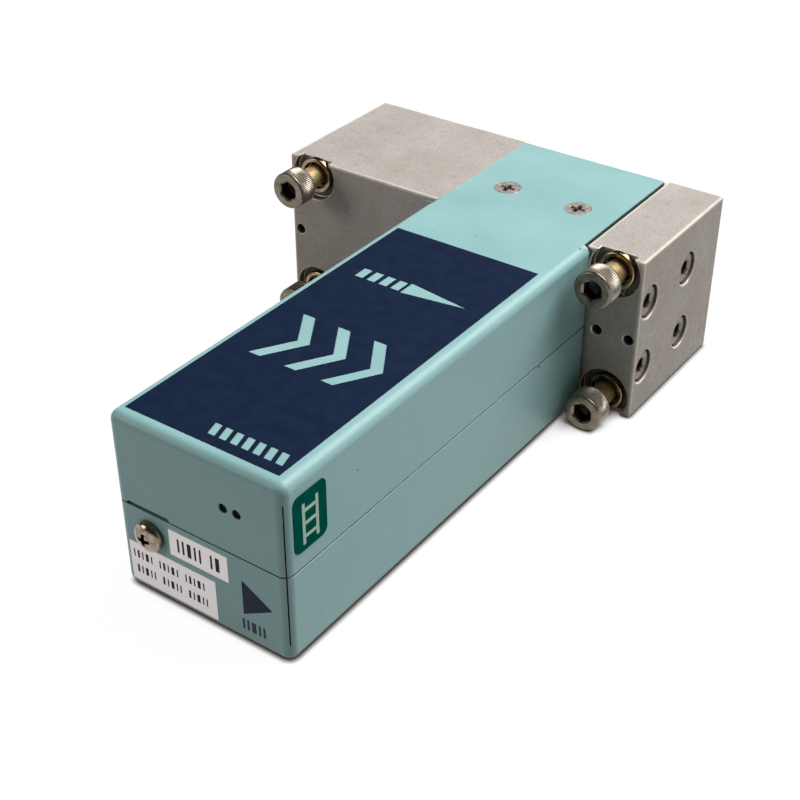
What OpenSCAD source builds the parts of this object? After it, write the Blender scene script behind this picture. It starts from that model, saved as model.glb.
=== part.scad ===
// Surface-mount mass flow controller, lying on the side of its enclosure.
// X runs along the gas flow (inlet at -X, outlet at +X), Y runs from the enclosure's end to the
// mounting face, and Z is up. The origin is the centre of the footprint, on the resting surface.

/* [Base block] */
// Length of the base block between its end faces
base_len = 92; // [90:0.5:110]
// Width of the base block, which is its height as it lies here
block_h = 38.1; // [37.5:0.1:42]
// Depth of the base block from the enclosure to the mounting face
block_d = 37.5; // [36:0.5:48]
// Length of the outlet block along the flow
outlet_w = 13.4; // [13.4:0.1:16]
// Radius on the block edges
block_edge_r = 0.4; // [0.2:0.1:0.4]

/* [Ports and passages] */
// Diameter of the inlet and outlet bores
port_d = 4.6; // [3:0.1:4.8]
// Diameter of the seal seat round each port
seal_d = 12.6; // [12:0.1:13]
// Depth of the seal seat
seal_depth = 1.9; // [1:0.1:3]
// Length of the straight inlet bore behind its seal seat
inlet_bore_len = 8; // [6:0.5:10]
// Diameter of the drilled gas passages
passage_d = 3.6; // [2.5:0.1:4]
// Diameter of the leak-check holes
leak_hole_d = 2.4; // [1.5:0.1:2.4]
// Distance of each outer leak-check hole from the port axis
leak_offset = 4.55; // [4.4:0.05:4.9]
// Distance of the outlet joint's leak-check hole from the port axis, inwards
joint_leak_offset = 3.0; // [2.6:0.1:3.4]
// Depth of the outlet joint's leak-check hole
joint_leak_depth = 6; // [4:0.5:8]

/* [Mounting screws] */
// Distance of the screw axes from the end faces of the base
bolt_inset = 6.6; // [6.5:0.1:6.8]
// Distance of the screw axes from the upper and lower sides of the base
bolt_edge = 4.05; // [3.9:0.05:5]
// Thread diameter
bolt_d = 5; // [4:0.1:5.2]
// Length under the head
bolt_len = 40; // [38:1:40]
// Head diameter
bolt_head_d = 8.5; // [7.8:0.1:8.6]
// Head height
bolt_head_h = 5; // [4:0.1:6]
// Width across the flats of the hexagon socket
bolt_hex = 4; // [3:0.5:5]
// Height of each head's underside in front of the block
bolt_lift = 4.7; // [1:0.1:6]
// Diameter of the holes through the block
bolt_hole_d = 5.8; // [5.4:0.1:6]
// Diameter of the pockets round the holes
bolt_pocket_d = 11.6; // [11:0.1:12.4]
// Depth of the pockets
bolt_pocket_depth = 1.9; // [1.7:0.1:3]
// Outer diameter of the retaining rings
ring_od = 8.6; // [8:0.1:8.8]
// Inner diameter of the retaining rings
ring_id = 6.3; // [6.1:0.1:6.6]
// Thickness of the retaining rings
ring_t = 1.5; // [1:0.1:1.7]

/* [Outlet block screws] */
// Distance of the screw pattern's centre from the front of the block
joint_y = 13.3; // [13.3:0.1:16]
// Spacing of the screws in depth
joint_pitch_y = 17.6; // [16:0.1:17.6]
// Distance of the screws from the upper and lower sides of the base
joint_edge = 11.05; // [10.8:0.05:11.3]
// Thread diameter
joint_screw_d = 4; // [3:0.1:4.2]
// Length under the head
joint_screw_len = 16; // [15:1:17]
// Head diameter
joint_head_d = 7; // [6:0.1:7.2]
// Head height
joint_head_h = 4; // [3:0.1:4.2]
// Width across the flats of the hexagon socket
joint_hex = 3; // [2:0.5:3.5]
// Diameter of the counterbores
joint_cbore_d = 7.6; // [7.5:0.1:8]
// Depth of the heads below the end face
joint_head_sink = 0.6; // [0:0.1:0.6]
// Diameter of the orifice gasket
gasket_d = 11; // [8:0.5:11.5]
// Thickness of the orifice gasket
gasket_t = 1; // [0.5:0.1:1.5]
// Diameter of the orifice
orifice_d = 0.6; // [0.3:0.1:1]

/* [Covers] */
// Thickness of the cover sheet
sheet_t = 1.0; // [0.8:0.1:1.2]
// Width of the enclosure along the flow
cover_w = 39.4; // [39:0.1:42]
// Length of the enclosure in front of the block
cover_len = 101.1; // [99.7:0.1:130]
// Outer radius of the enclosure's edges and near corners
bend_r = 2; // [1.6:0.1:2.2]
// Height of the seam above the middle of the block
seam_rise = 0.15; // [-0.5:0.05:0.5]
// Width of the seam between the covers
seam_gap = 0.3; // [0.1:0.05:0.4]
// Gap between the side walls and the front of the block
wall_gap = 0.4; // [0.2:0.1:1]
// Width of the slits at the upright corners
slit_w = 0.25; // [0.1:0.05:0.3]
// Distance of the tongues' sides from the enclosure's sides
tongue_side = 1.5; // [1.4:0.1:2]
// Distance of the tongues' ends from the mounting face
tongue_end = 1.3; // [0.5:0.1:8]
// Height of the tongues' outer faces above the block
tongue_proud = 0.3; // [0.1:0.1:0.5]
// Gap between the tongues and the outlet block
tongue_gap = 0.5; // [0.3:0.1:0.8]
// Gap between the tongues and the step on the inlet side
step_gap = 0.1; // [0.05:0.05:0.4]
// Width of the notch in the upper cover's edge at the near end
notch_w = 9.4; // [4:0.1:12]
// Height of the notch
notch_h = 0.6; // [0.3:0.1:1.2]
// Distance of the notch's middle from the enclosure's left side
notch_inset = 7.6; // [7.3:0.1:9.5]

/* [Cover screws] */
// Spacing of the countersunk screws along the flow
cover_screw_pitch = 17.8; // [16:0.1:19]
// Distance of the countersunk screws from the front of the block
cover_screw_y = 13.3; // [13:0.1:15]
// Thread diameter of the countersunk screws
cover_screw_d = 3; // [2.5:0.1:3.4]
// Length of the countersunk screws
cover_screw_len = 8; // [6:0.5:8]
// Head diameter of the countersunk screws
cover_screw_head_d = 6; // [5:0.1:6.4]
// Diameter of the pan head at the near end
pan_head_d = 6; // [5.4:0.1:7]
// Height of the pan head
pan_head_h = 2.3; // [1.8:0.1:2.8]
// Thread diameter of the pan-head screw
pan_screw_d = 3; // [2.5:0.1:3.5]
// Length of the pan-head screw under its head
pan_screw_len = 4; // [3.5:0.5:4.5]
// Distance of the pan-head screw from the enclosure's left side
pan_inset = 7.8; // [7.3:0.1:8.8]
// Distance of the pan-head screw below the seam
pan_drop = 4.9; // [4.6:0.1:6]

/* [Labels] */
// Thickness of the label films
film_t = 0.12; // [0.05:0.01:0.3]
// Distance of the long label's sides from the enclosure's sides
top_label_side = 2.55; // [2.4:0.05:5]
// Length of the long label
top_label_len = 81.6; // [70:0.1:84]
// Distance of the long label from the near end
top_label_inset = 2.8; // [2.6:0.1:6]
// Distance of the long label's middle from the enclosure's centre
top_label_offset = 0.3; // [0:0.1:0.4]
// Length of the label on the side wall
side_label_len = 8.8; // [6:0.1:12]
// Height of the label on the side wall
side_label_h = 11.9; // [8:0.1:12.4]
// Corner radius of the label on the side wall
side_label_r = 1.5; // [0.5:0.1:3]
// Distance of the side label from the near end
side_label_inset = 2.3; // [2.2:0.1:5]
// Width of the small end label
small_label_w = 13.6; // [8:0.1:13.8]
// Height of the small end label
small_label_h = 5.7; // [3:0.1:6]
// Width of the large end label
large_label_w = 20.7; // [12:0.1:21]
// Gap between the two end labels
end_label_gap = 1.55; // [1.5:0.05:4]
// Width of the triangle at the near end
end_arrow_w = 6.5; // [4:0.1:7]
// Height of the triangle at the near end
end_arrow_h = 7.5; // [5:0.1:8]

/* [Print openings in the long label] */
// Length of the flow arrow
flow_arrow_len = 14.8; // [10:0.1:16]
// Width of the flow arrow's tail
flow_arrow_w = 4.4; // [2:0.1:6]
// Distance of the flow arrow from the label's end at the block
flow_arrow_inset = 19.8; // [16:0.1:22]
// Number of chevrons in the middle
chevron_count = 3; // [1:1:3]
// Width of one chevron
chevron_w = 8; // [5:0.1:8.2]
// Height of one chevron
chevron_h = 16.6; // [8:0.1:18]
// Stroke of one chevron
chevron_stroke = 2.9; // [1.5:0.1:3.5]

/* [Valve] */
// Diameter of the valve chamber in the block
chamber_d = 14; // [13.6:0.1:14.4]
// Depth of the ledge that carries the diaphragm
chamber_depth = 3.6; // [3:0.1:4]
// Diameter of the lower chamber
lower_chamber_d = 11; // [10:0.1:12]
// Depth of the lower chamber below the ledge
lower_chamber_depth = 1.4; // [1.2:0.1:1.8]
// Diameter of the valve seat
seat_d = 6; // [5:0.1:6.2]
// Diameter of the seat's bore
seat_bore_d = 2.4; // [1.5:0.1:3]
// Gap between the seat and the diaphragm
seat_lift = 0.3; // [0.1:0.1:0.5]
// Thickness of the diaphragm
diaphragm_t = 0.3; // [0.1:0.05:0.5]
// Thickness of the bonnet's flange
bonnet_t = 6; // [5:0.5:8]
// Diameter of the bonnet's neck
neck_d = 12; // [11:0.1:12.4]
// Height of the bonnet's neck
neck_h = 7; // [6:0.5:9]
// Diameter of the valve stem
stem_d = 5; // [4:0.1:5.4]
// Thread diameter of the bonnet screws
bonnet_screw_d = 3; // [2.5:0.1:3.2]
// Length of the bonnet screws under their heads
bonnet_screw_len = 12; // [10:1:16]
// Spacing of the bonnet screws in height
bonnet_pitch_z = 11; // [10:0.1:12]
// Outer diameter of the actuator case
actuator_d = 16; // [15.6:0.1:17]
// Length of the actuator case
actuator_len = 43; // [41:0.5:43]
// Wall of the actuator case
actuator_wall = 1.2; // [1:0.1:1.6]
// Floor of the actuator case
actuator_floor = 2; // [1.5:0.1:3]
// Width of the square piezo stack
stack_w = 8; // [6:0.5:10]
// Length of the piezo stack
stack_len = 36; // [34:0.5:36]
// Thickness of the actuator cap's rim
actuator_rim = 3; // [2:0.1:3]

/* [Sensors] */
// Width across the flats of the pressure sensor
sensor_af = 10; // [9.6:0.1:11]
// Height of the pressure sensor's hexagon
sensor_hex_h = 5; // [4:0.5:6]
// Thread diameter of the pressure sensor
sensor_thread_d = 8; // [7:0.1:8.2]
// Thread length of the pressure sensor
sensor_thread_len = 6; // [5:0.5:7]
// Diameter of the pressure sensor's body
sensor_body_d = 9.4; // [8:0.1:9.6]
// Length of the pressure sensor's body
sensor_body_len = 12; // [8:0.5:12]
// Thickness of the pressure sensor's gasket
sensor_gasket_t = 0.8; // [0.5:0.1:1]
// Diameter of the temperature sensor
probe_d = 3; // [2:0.1:3.4]
// Depth of the temperature sensor in the block
probe_len = 8; // [5:0.5:9]
// Diameter of the temperature sensor's head
probe_head_d = 4.6; // [4:0.1:4.8]

/* [Chassis] */
// Thickness of the chassis sheet
chassis_t = 1.0; // [0.8:0.1:1.2]
// Gap between the chassis and the covers
chassis_gap = 0.6; // [0.5:0.1:1]
// Height of the chassis foot on the block
foot_h = 5.6; // [5.4:0.1:6]
// Thread diameter of the foot screws
foot_screw_d = 2; // [1.6:0.1:2.4]
// Length of the foot screws
foot_screw_len = 6; // [5:0.5:8]
// Width of the chassis tab at the near end
tab_w = 14; // [12:0.5:16]

/* [Electronics] */
// Thickness of the circuit boards
board_t = 1.6; // [1:0.1:1.6]
// Height of the spacers under the boards
spacer_h = 3; // [2.5:0.1:3.2]
// Diameter of the spacers
spacer_d = 5; // [4:0.1:5.5]
// Thread diameter of the board screws
board_screw_d = 2.5; // [2:0.1:3]
// Diameter of the holes in front of the indicator lamps
lamp_hole_d = 1.9; // [1.4:0.1:2.2]
// Distance between the two indicator lamps
lamp_pitch = 3; // [2.6:0.1:4]
// Distance of the lamps from the enclosure's right side
lamp_inset = 11.9; // [10.5:0.1:14]
// Distance of the lamps below the top of the enclosure
lamp_drop = 9.8; // [6:0.1:12]
// Diameter of the inner leads
lead_d = 1.4; // [0.8:0.1:1.6]

/* [Side connector] */
// Length of the connector's flange
conn_flange_len = 30.8; // [30.8:0.1:32]
// Height of the connector's flange
conn_flange_h = 12.5; // [11.6:0.1:12.8]
// Length of the connector's shell at its wide side
conn_shell_len = 18.4; // [17:0.1:18.6]
// Height of the connector's shell
conn_shell_h = 9.4; // [9:0.1:10]
// Height of the shell above the flange
conn_shell_out = 5.8; // [4:0.1:6.5]
// Sheet thickness of the connector's shell
conn_sheet_t = 0.6; // [0.4:0.05:0.8]
// Depth of the connector's body behind the flange
conn_body_depth = 7; // [6:0.5:8]
// Pitch of the pins
pin_pitch = 2.77; // [2.6:0.01:2.8]
// Distance between the two rows of pins
pin_row = 2.84; // [2.6:0.01:3]
// Number of pins in the long row
pin_count = 5; // [3:1:5]
// Distance between the two screw locks
jack_pitch = 25; // [24.8:0.1:25.4]
// Clearance round the connector's flange
conn_gap = 0.4; // [0.2:0.1:0.8]
// Distance of the connector from the near end
conn_inset = 23.7; // [23.7:0.1:24]

/* [Hidden] */
$fn = 96;

// Clearances
hole_clear = 0.4;
thread_gap = 0.05;
slide_gap = 0.1;
part_gap = 0.3;
cut = 1;

// Base block
half_len = base_len / 2;
joint_x = half_len - outlet_w;
bolt_x = half_len - bolt_inset;
bolt_pitch = block_h - 2 * bolt_edge;
joint_pitch_z = block_h - 2 * joint_edge;
mid_z = tongue_proud + block_h / 2;
block_top = tongue_proud + block_h;
recess_depth = sheet_t - tongue_proud;
y_shift = (cover_len + pan_head_h - block_d) / 2;

// Enclosure
case_h = block_h + 2 * tongue_proud;
tongue_w = cover_w - 2 * tongue_side;
tongue_len = block_d - tongue_end;
cover_x = joint_x - tongue_gap - tongue_w / 2;
wall_l = cover_x - cover_w / 2;
wall_r = cover_x + cover_w / 2;
inner_l = wall_l + sheet_t;
inner_r = wall_r - sheet_t;
near_y = -cover_len;
inner_y = near_y + sheet_t;
seam_z = mid_z + seam_rise;

// Depth of a hexagon socket as a part of its head
socket_share = 0.55;

// Print on the labels, from the middle of the long label and from the enclosure's centre
top_label_w = cover_w - 2 * top_label_side;
label_end = near_y + top_label_inset + top_label_len;
flow_arrow_x = -1.2;
tail_bar_count = 4;
tail_bar_w = 2;
tail_bar_pitch = 2.9;
chevron_x = 0.85;
chevron_gap = 0.35;
chevron_inset = 47.4;
end_bars_side = 1.15;
end_bars_inset = 2.2;
end_bar_count = 7;
end_bar_w = 1.6;
end_bar_h = 3.3;
end_bar_slant = 0.9;
end_bar_pitch = 2.45;
end_bars_x = top_label_w / 2 - end_bars_side - (end_bar_count - 1) * end_bar_pitch - end_bar_w;
side_label_drop = 1.7;
small_label_offset = 7.3;
small_label_drop = 1.35;
small_label_z = seam_z - small_label_drop - small_label_h;
large_label_h = small_label_z - end_label_gap - bend_r;
end_arrow_offset = 9.35;
end_arrow_drop = 8.7;

// Valve, seen from the block outwards
bonnet_head_d = 1.8 * bonnet_screw_d;
bonnet_head_h = bonnet_screw_d;
bonnet_hex = 0.8 * bonnet_screw_d;
bonnet_wall = 0.6;
bonnet_reach = chamber_d / 2 + bonnet_wall + bonnet_screw_d / 2;
bonnet_pitch = 2 * sqrt(bonnet_reach ^ 2 - bonnet_pitch_z ^ 2 / 4);
bonnet_edge = 0.25;
bonnet_w = bonnet_pitch + bonnet_head_d + 2 * bonnet_edge;
bonnet_h = bonnet_pitch_z + bonnet_head_d + 2 * bonnet_edge;
valve_x = inner_l + part_gap + bonnet_w / 2;
chamber_floor = chamber_depth + lower_chamber_depth;
valve_inlet_d = 2.4;
valve_inlet_r = (seat_d + lower_chamber_d) / 4;
valve_inlet_len = 6;
seat_h = lower_chamber_depth - seat_lift;
actuator_y = -bonnet_t - neck_h;
stack_y = actuator_y - actuator_floor;
plug_y = stack_y - stack_len;
actuator_end = actuator_y - actuator_len;
cap_end = actuator_end - actuator_rim;

// Sensors
sensor_gap = 0.4;
sensor_x = valve_x + bonnet_w / 2 + sensor_gap + sensor_af / 2;
sensor_tap_d = 2;
sensor_hex_y = -sensor_gasket_t - sensor_hex_h;
sensor_end = sensor_hex_y - sensor_body_len;
gasket_inset = 0.3;
probe_x = sensor_x;
probe_drop = 1.3;
probe_z = case_h - sheet_t - probe_drop - probe_head_d / 2;
probe_head_t = 1.5;

// Chassis
floor_z = sheet_t + chassis_gap;
floor_top = floor_z + chassis_t;
side_x = inner_r - chassis_gap - chassis_t;
chassis_top = case_h - sheet_t - chassis_gap;
chassis_end = inner_y + chassis_gap;
chassis_l = inner_l + chassis_gap;
side_start = sensor_end - part_gap;
tab_drop = 0.5;
tab_top = seam_z - tab_drop;
foot_head_d = 2 * foot_screw_d;
foot_head_h = 0.7 * foot_screw_d;
foot_screw_z = floor_top + foot_head_d / 2 + part_gap;
foot_screw_in = 3.2;
pan_x = wall_l + pan_inset;
pan_z = seam_z - pan_drop;

// Circuit boards
board_x = side_x - spacer_h - board_t;
board_end = chassis_end + chassis_t + part_gap;
board_inset = 4;
board_start = side_start - board_inset;
board_rise = 1.2;
board_drop = 0.6;
board_z0 = floor_top + board_rise;
board_z1 = chassis_top - board_drop;
screw_edge = 3.6;
chip_count = 4;
chip_w = 7;
chip_h = 1.8;
chip_gap = 4;
chip_inset = 9;
chip_drop = 5;
small_chip_w = 3;
small_chip_l = 4;
small_chip_h = 1.2;
small_chip_gap = 5;
small_chip_inset = 12;
small_chip_rise = 3;
board_head_d = 1.8 * board_screw_d;
board_head_h = 0.6 * board_screw_d;
panel_spacer_h = spacer_h + 0.6;
panel_y = chassis_end + chassis_t + panel_spacer_h;
panel_back = panel_y + board_t;
panel_spacer_in = 3.4;
panel_spacer_x = chassis_l + panel_spacer_in;
panel_spacer_z = floor_top + spacer_d / 2 + part_gap;
header_len = 6;
header_h = 14;
header_w = 4;
lamp_x = wall_r - lamp_inset;
lamp_z = case_h - lamp_drop;
lamp_tip = 0.5;
lamp_tip_d = lamp_hole_d - 2 * slide_gap;
lamp_flange_h = 3;
socket_w = 4;
socket_h = 2.4;
sensor_lead_z = mid_z;
lead_turn = 1;
piezo_lead_y = cap_end - lead_turn - lead_d / 2;

// Side connector
conn_y = near_y + conn_inset;
conn_z = seam_z;
conn_sink = 0.2;
conn_face = wall_l + conn_sink;
conn_back = conn_face + conn_sheet_t;
conn_board_x = conn_back + conn_body_depth;
conn_board_len = conn_flange_len;
conn_taper = 10;
conn_insert_out = 1;
pin_d = 1;
pin_out = 4.6;
jack_af = 4.6;
jack_out = 5;
jack_thread_d = 2.8;
conn_spacer_z = 3.6;

// ---- Helpers -------------------------------------------------------------------------------

module placed() {
    translate([0, y_shift, 0]) children();
}

// A profile drawn in X and Z, drawn out along Y
module along_y(y0, y1) {
    translate([0, y1, 0]) rotate([90, 0, 0]) linear_extrude(y1 - y0) children();
}

// A profile drawn in Y and Z, drawn out along X
module along_x(x0, x1) {
    translate([x0, 0, 0]) rotate([90, 0, 90]) linear_extrude(x1 - x0) children();
}

// A box between two opposite corners
module span(a, b) {
    translate(a) cube(b - a);
}

module round_rect(w, h, r) {
    square([w - 2 * r, h], center = true);
    square([w, h - 2 * r], center = true);
    for (x = [-1, 1], y = [-1, 1])
        translate([x * (w / 2 - r), y * (h / 2 - r)]) circle(r);
}

// A box with round edges between two opposite corners
module soft_span(a, b, r) {
    s = b - a;
    m = (a + b) / 2;
    intersection() {
        along_y(a[1], b[1]) translate([m[0], m[2]]) round_rect(s[0], s[2], r);
        along_x(a[0], b[0]) translate([m[1], m[2]]) round_rect(s[1], s[2], r);
        translate([m[0], m[1], a[2]]) linear_extrude(s[2]) round_rect(s[0], s[1], r);
    }
}

// Children whose +Z points out of the block towards the enclosure (-Y)
module facing_front(x, y, z) {
    translate([x, y, z]) rotate([90, 0, 0]) children();
}

// A hole along Y between two depths
module hole_y(x, z, d, y0, y1) {
    translate([x, y1, z]) rotate([90, 0, 0]) cylinder(d = d, h = y1 - y0);
}

// A hole along X between two stations
module hole_x(y, z, d, x0, x1) {
    translate([x0, y, z]) rotate([0, 90, 0]) cylinder(d = d, h = x1 - x0);
}

// The four places of a rectangular pattern
module four(px, py) {
    for (x = [-1, 1], y = [-1, 1]) translate([x * px / 2, y * py / 2, 0]) children();
}

// Socket-head cap screw: head above z = 0, shank below
module cap_screw(d, len, head_d, head_h, hex) {
    rim = 0.08 * head_d;
    foot = 0.03 * head_d;
    difference() {
        union() {
            rotate_extrude() polygon([[0, 0], [head_d / 2 - foot, 0], [head_d / 2, foot],
                [head_d / 2, head_h - rim], [head_d / 2 - rim, head_h], [0, head_h]]);
            translate([0, 0, -len]) cylinder(d = d, h = len);
        }
        translate([0, 0, head_h * (1 - socket_share)])
            cylinder(d = hex / cos(30), h = head_h, $fn = 6);
        translate([0, 0, head_h - 0.5 * rim])
            cylinder(d1 = hex, d2 = hex + 2 * rim, h = rim);
    }
}

// Cross recess that opens upwards at z = 0
module cross_recess(w, depth) {
    arm = 0.24 * w;
    for (a = [0, 90]) rotate([0, 0, a])
        translate([0, 0, -depth]) rotate([90, 0, 0]) translate([0, 0, -arm / 2])
            linear_extrude(arm) polygon([[-0.28 * w, 0], [0.28 * w, 0], [0.5 * w, depth + cut],
                [-0.5 * w, depth + cut]]);
}

// Countersunk screw with its face at z = 0
module flat_screw(d, len, head_d) {
    cone_h = (head_d - d) / 2;
    land = 0.1 * d;
    difference() {
        rotate_extrude() polygon([[0, -len], [d / 2, -len], [d / 2, -land - cone_h],
            [head_d / 2, -land], [head_d / 2, 0], [0, 0]]);
        cross_recess(0.52 * head_d, 0.45 * d);
    }
}

// Seat of a countersunk screw with its face at z = 0
module flat_screw_seat(d, len, head_d) {
    cone_h = (head_d - d) / 2;
    land = 0.1 * d;
    g = thread_gap;
    rotate_extrude() polygon([[0, -len - cut], [d / 2 + g, -len - cut],
        [d / 2 + g, -land - cone_h], [head_d / 2 + g, -land], [head_d / 2 + g, cut], [0, cut]]);
}

// Pan-head screw: domed head above z = 0, shank below
module pan_screw(d, len, head_d, head_h, recess) {
    edge_h = 0.3 * head_h;
    dome_h = head_h - edge_h;
    dome_r = (head_d * head_d / 4 + dome_h * dome_h) / (2 * dome_h);
    difference() {
        union() {
            intersection() {
                cylinder(d = head_d, h = head_h);
                translate([0, 0, head_h - dome_r]) sphere(dome_r);
            }
            translate([0, 0, -len]) cylinder(d = d, h = len);
        }
        translate([0, 0, head_h]) cross_recess(recess, 0.55 * head_h);
    }
}

// ---- Base block ----------------------------------------------------------------------------

module bolt_places(side) {
    for (z = [-1, 1]) translate([side * bolt_x, 0, mid_z + z * bolt_pitch / 2]) children();
}

module bolt_cuts(side) {
    bolt_places(side) {
        hole_y(0, 0, bolt_hole_d, -cut, block_d + cut);
        hole_y(0, 0, bolt_pocket_d, -cut, bolt_pocket_depth);
    }
}

module joint_places() {
    for (y = [-1, 1], z = [-1, 1])
        translate([0, joint_y + y * joint_pitch_y / 2, mid_z + z * joint_pitch_z / 2]) children();
}

module inlet_body() color("#a39c95") placed() difference() {
    soft_span([-half_len, 0, tongue_proud], [joint_x, block_d, block_top], block_edge_r);
    bolt_cuts(-1);
    // Inlet port and its leak-check hole
    hole_y(-bolt_x, mid_z, seal_d, block_d - seal_depth, block_d + cut);
    hole_y(-bolt_x, mid_z, port_d, block_d - seal_depth - inlet_bore_len, block_d);
    hole_y(-bolt_x - leak_offset, mid_z, leak_hole_d, -cut, block_d);
    slanted_passage();
    // Steps under the two cover tongues
    for (z = [tongue_proud - cut, block_top - recess_depth])
        span([cover_x - tongue_w / 2 - step_gap, -cut, z],
            [joint_x + cut, block_d + cut, z + cut + (z > mid_z ? 0 : recess_depth)]);
    cover_screw_places() flat_screw_seat(cover_screw_d, cover_screw_len, cover_screw_head_d);
    // Valve chamber, seat bore and passage to the joint
    hole_y(valve_x, mid_z, chamber_d, -cut, chamber_depth);
    hole_y(valve_x, mid_z, lower_chamber_d, 0, chamber_floor);
    hole_y(valve_x, mid_z, seat_bore_d, chamber_floor - cut, joint_y);
    hole_x(joint_y, mid_z, passage_d, valve_x - passage_d / 2, joint_x + cut);
    hole_x(joint_y, mid_z, gasket_d + 2 * slide_gap, joint_x - gasket_t, joint_x + cut);
    // Tapped holes
    facing_front(valve_x, 0, mid_z) four(bonnet_pitch, bonnet_pitch_z)
        tapped(bonnet_screw_d, bonnet_screw_len - bonnet_t);
    joint_places() hole_x(0, 0, joint_screw_d + 2 * thread_gap,
        half_len - joint_head_sink - joint_head_h - joint_screw_len - cut, joint_x + cut);
    foot_screw_places(0) tapped(foot_screw_d, foot_screw_len - chassis_t);
    // Sensor seats
    facing_front(sensor_x, 0, mid_z) tapped(sensor_thread_d, sensor_thread_len - sensor_gasket_t);
    hole_y(sensor_x, mid_z, sensor_tap_d, 0, joint_y);
    facing_front(probe_x, 0, probe_z) tapped(probe_d, probe_len);
}

// Blind hole for a thread of diameter d that reaches len below z = 0
module tapped(d, len) {
    translate([0, 0, -len - cut]) cylinder(d = d + 2 * thread_gap, h = len + 2 * cut);
}

// Slanted bore from the inlet port to the valve's inlet hole
module slanted_passage() {
    valve_inlet_x = valve_x - valve_inlet_r;
    turn_y = chamber_floor + valve_inlet_len;
    from = [-bolt_x, block_d - seal_depth - inlet_bore_len + port_d / 2, mid_z];
    to = [valve_inlet_x, turn_y, mid_z];
    run = to - from;
    hole_y(valve_inlet_x, mid_z, valve_inlet_d, chamber_floor - cut, turn_y);
    translate(from) rotate([0, 0, atan2(run[1], run[0])]) rotate([0, 90, 0])
        cylinder(d = passage_d, h = norm(run));
}

module outlet_block() color("#a39c95") placed() difference() {
    soft_span([joint_x, 0, tongue_proud], [half_len, block_d, block_top], block_edge_r);
    bolt_cuts(1);
    // Outlet port and the two leak-check holes
    hole_y(bolt_x, mid_z, seal_d, block_d - seal_depth, block_d + cut);
    hole_y(bolt_x, mid_z, port_d, joint_y, block_d);
    hole_x(joint_y, mid_z, passage_d, joint_x - cut, bolt_x);
    hole_y(bolt_x + leak_offset, mid_z, leak_hole_d, -cut, block_d);
    hole_y(bolt_x - joint_leak_offset, mid_z, leak_hole_d, -cut, joint_leak_depth);
    // Screws that hold the block to the body
    joint_places() {
        hole_x(0, 0, joint_screw_d + hole_clear, joint_x - cut, half_len);
        hole_x(0, 0, joint_cbore_d, half_len - joint_head_sink - joint_head_h, half_len + cut);
    }
}

module mounting_screws() color("#8a8076") placed()
    for (side = [-1, 1]) bolt_places(side) facing_front(0, -bolt_lift, 0)
        cap_screw(bolt_d, bolt_len, bolt_head_d, bolt_head_h, bolt_hex);

module screw_rings() color("#b59a6a") placed()
    for (side = [-1, 1]) bolt_places(side) facing_front(0, bolt_pocket_depth, 0)
        rotate_extrude() translate([(ring_od + ring_id) / 4, ring_t / 2])
            round_rect((ring_od - ring_id) / 2, ring_t, (ring_od - ring_id) / 6);

module outlet_screws() color("#6f6a64") placed()
    joint_places() translate([half_len - joint_head_sink - joint_head_h, 0, 0])
        rotate([0, 90, 0]) cap_screw(joint_screw_d, joint_screw_len, joint_head_d, joint_head_h,
            joint_hex);

module orifice_gasket() color("#c9c4bb") placed()
    difference() {
        hole_x(joint_y, mid_z, gasket_d, joint_x - gasket_t, joint_x);
        hole_x(joint_y, mid_z, orifice_d, joint_x - gasket_t - cut, joint_x + cut);
    }

// ---- Covers --------------------------------------------------------------------------------

// The enclosure's outer form with its edges rounded alike, moved inwards by inset
module case_form(inset, open_end) {
    r = bend_r - inset;
    y = near_y + bend_r;
    xs = [wall_l + bend_r, wall_r - bend_r];
    zs = [bend_r, case_h - bend_r];
    along_y(y, open_end) translate([cover_x, mid_z])
        round_rect(cover_w - 2 * inset, case_h - 2 * inset, r);
    span([xs[0], near_y + inset, zs[0]], [xs[1], y, zs[1]]);
    for (x = xs) translate([x, y, zs[0]]) cylinder(r = r, h = zs[1] - zs[0]);
    for (z = zs) along_x(xs[0], xs[1]) translate([y, z]) circle(r);
    for (x = xs, z = zs) translate([x, y, z]) sphere(r);
}

// Both covers before they are parted at the seam
module case_shell() {
    difference() {
        union() {
            case_form(0, -wall_gap);
            for (z = [0, case_h - sheet_t])
                span([cover_x - tongue_w / 2, -bend_r - wall_gap, z],
                    [cover_x + tongue_w / 2, tongue_len, z + sheet_t]);
        }
        case_form(sheet_t, cut);
        cover_screw_places() flat_screw_seat(cover_screw_d, cover_screw_len, cover_screw_head_d);
        corner_slits();
        connector_window();
    }
}

// Slits where the end wall meets the side walls
module corner_slits() {
    reach = 3 * bend_r;
    top = 2 * bend_r;
    for (side = [-1, 1])
        translate([cover_x + side * cover_w / 2, near_y, case_h / 2])
            rotate([0, 0, side * 45])
                cube([slit_w, reach, case_h - 2 * top], center = true);
}

module connector_window() {
    l = conn_flange_len / 2 + conn_gap;
    h = conn_flange_h / 2 + conn_gap;
    span([wall_l - cut, conn_y - l, conn_z - h], [inner_l + cut, conn_y + l, conn_z + h]);
}

// The two screws in each tongue, with +Z out of the cover
module cover_screw_places() {
    for (x = [-1, 1]) {
        translate([cover_x + x * cover_screw_pitch / 2, cover_screw_y, case_h]) children();
        translate([cover_x + x * cover_screw_pitch / 2, cover_screw_y, 0])
            rotate([180, 0, 0]) children();
    }
}

module half_space(z0, z1) {
    span([wall_l - cut, near_y - cut, z0], [wall_r + cut, block_d, z1]);
}

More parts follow.
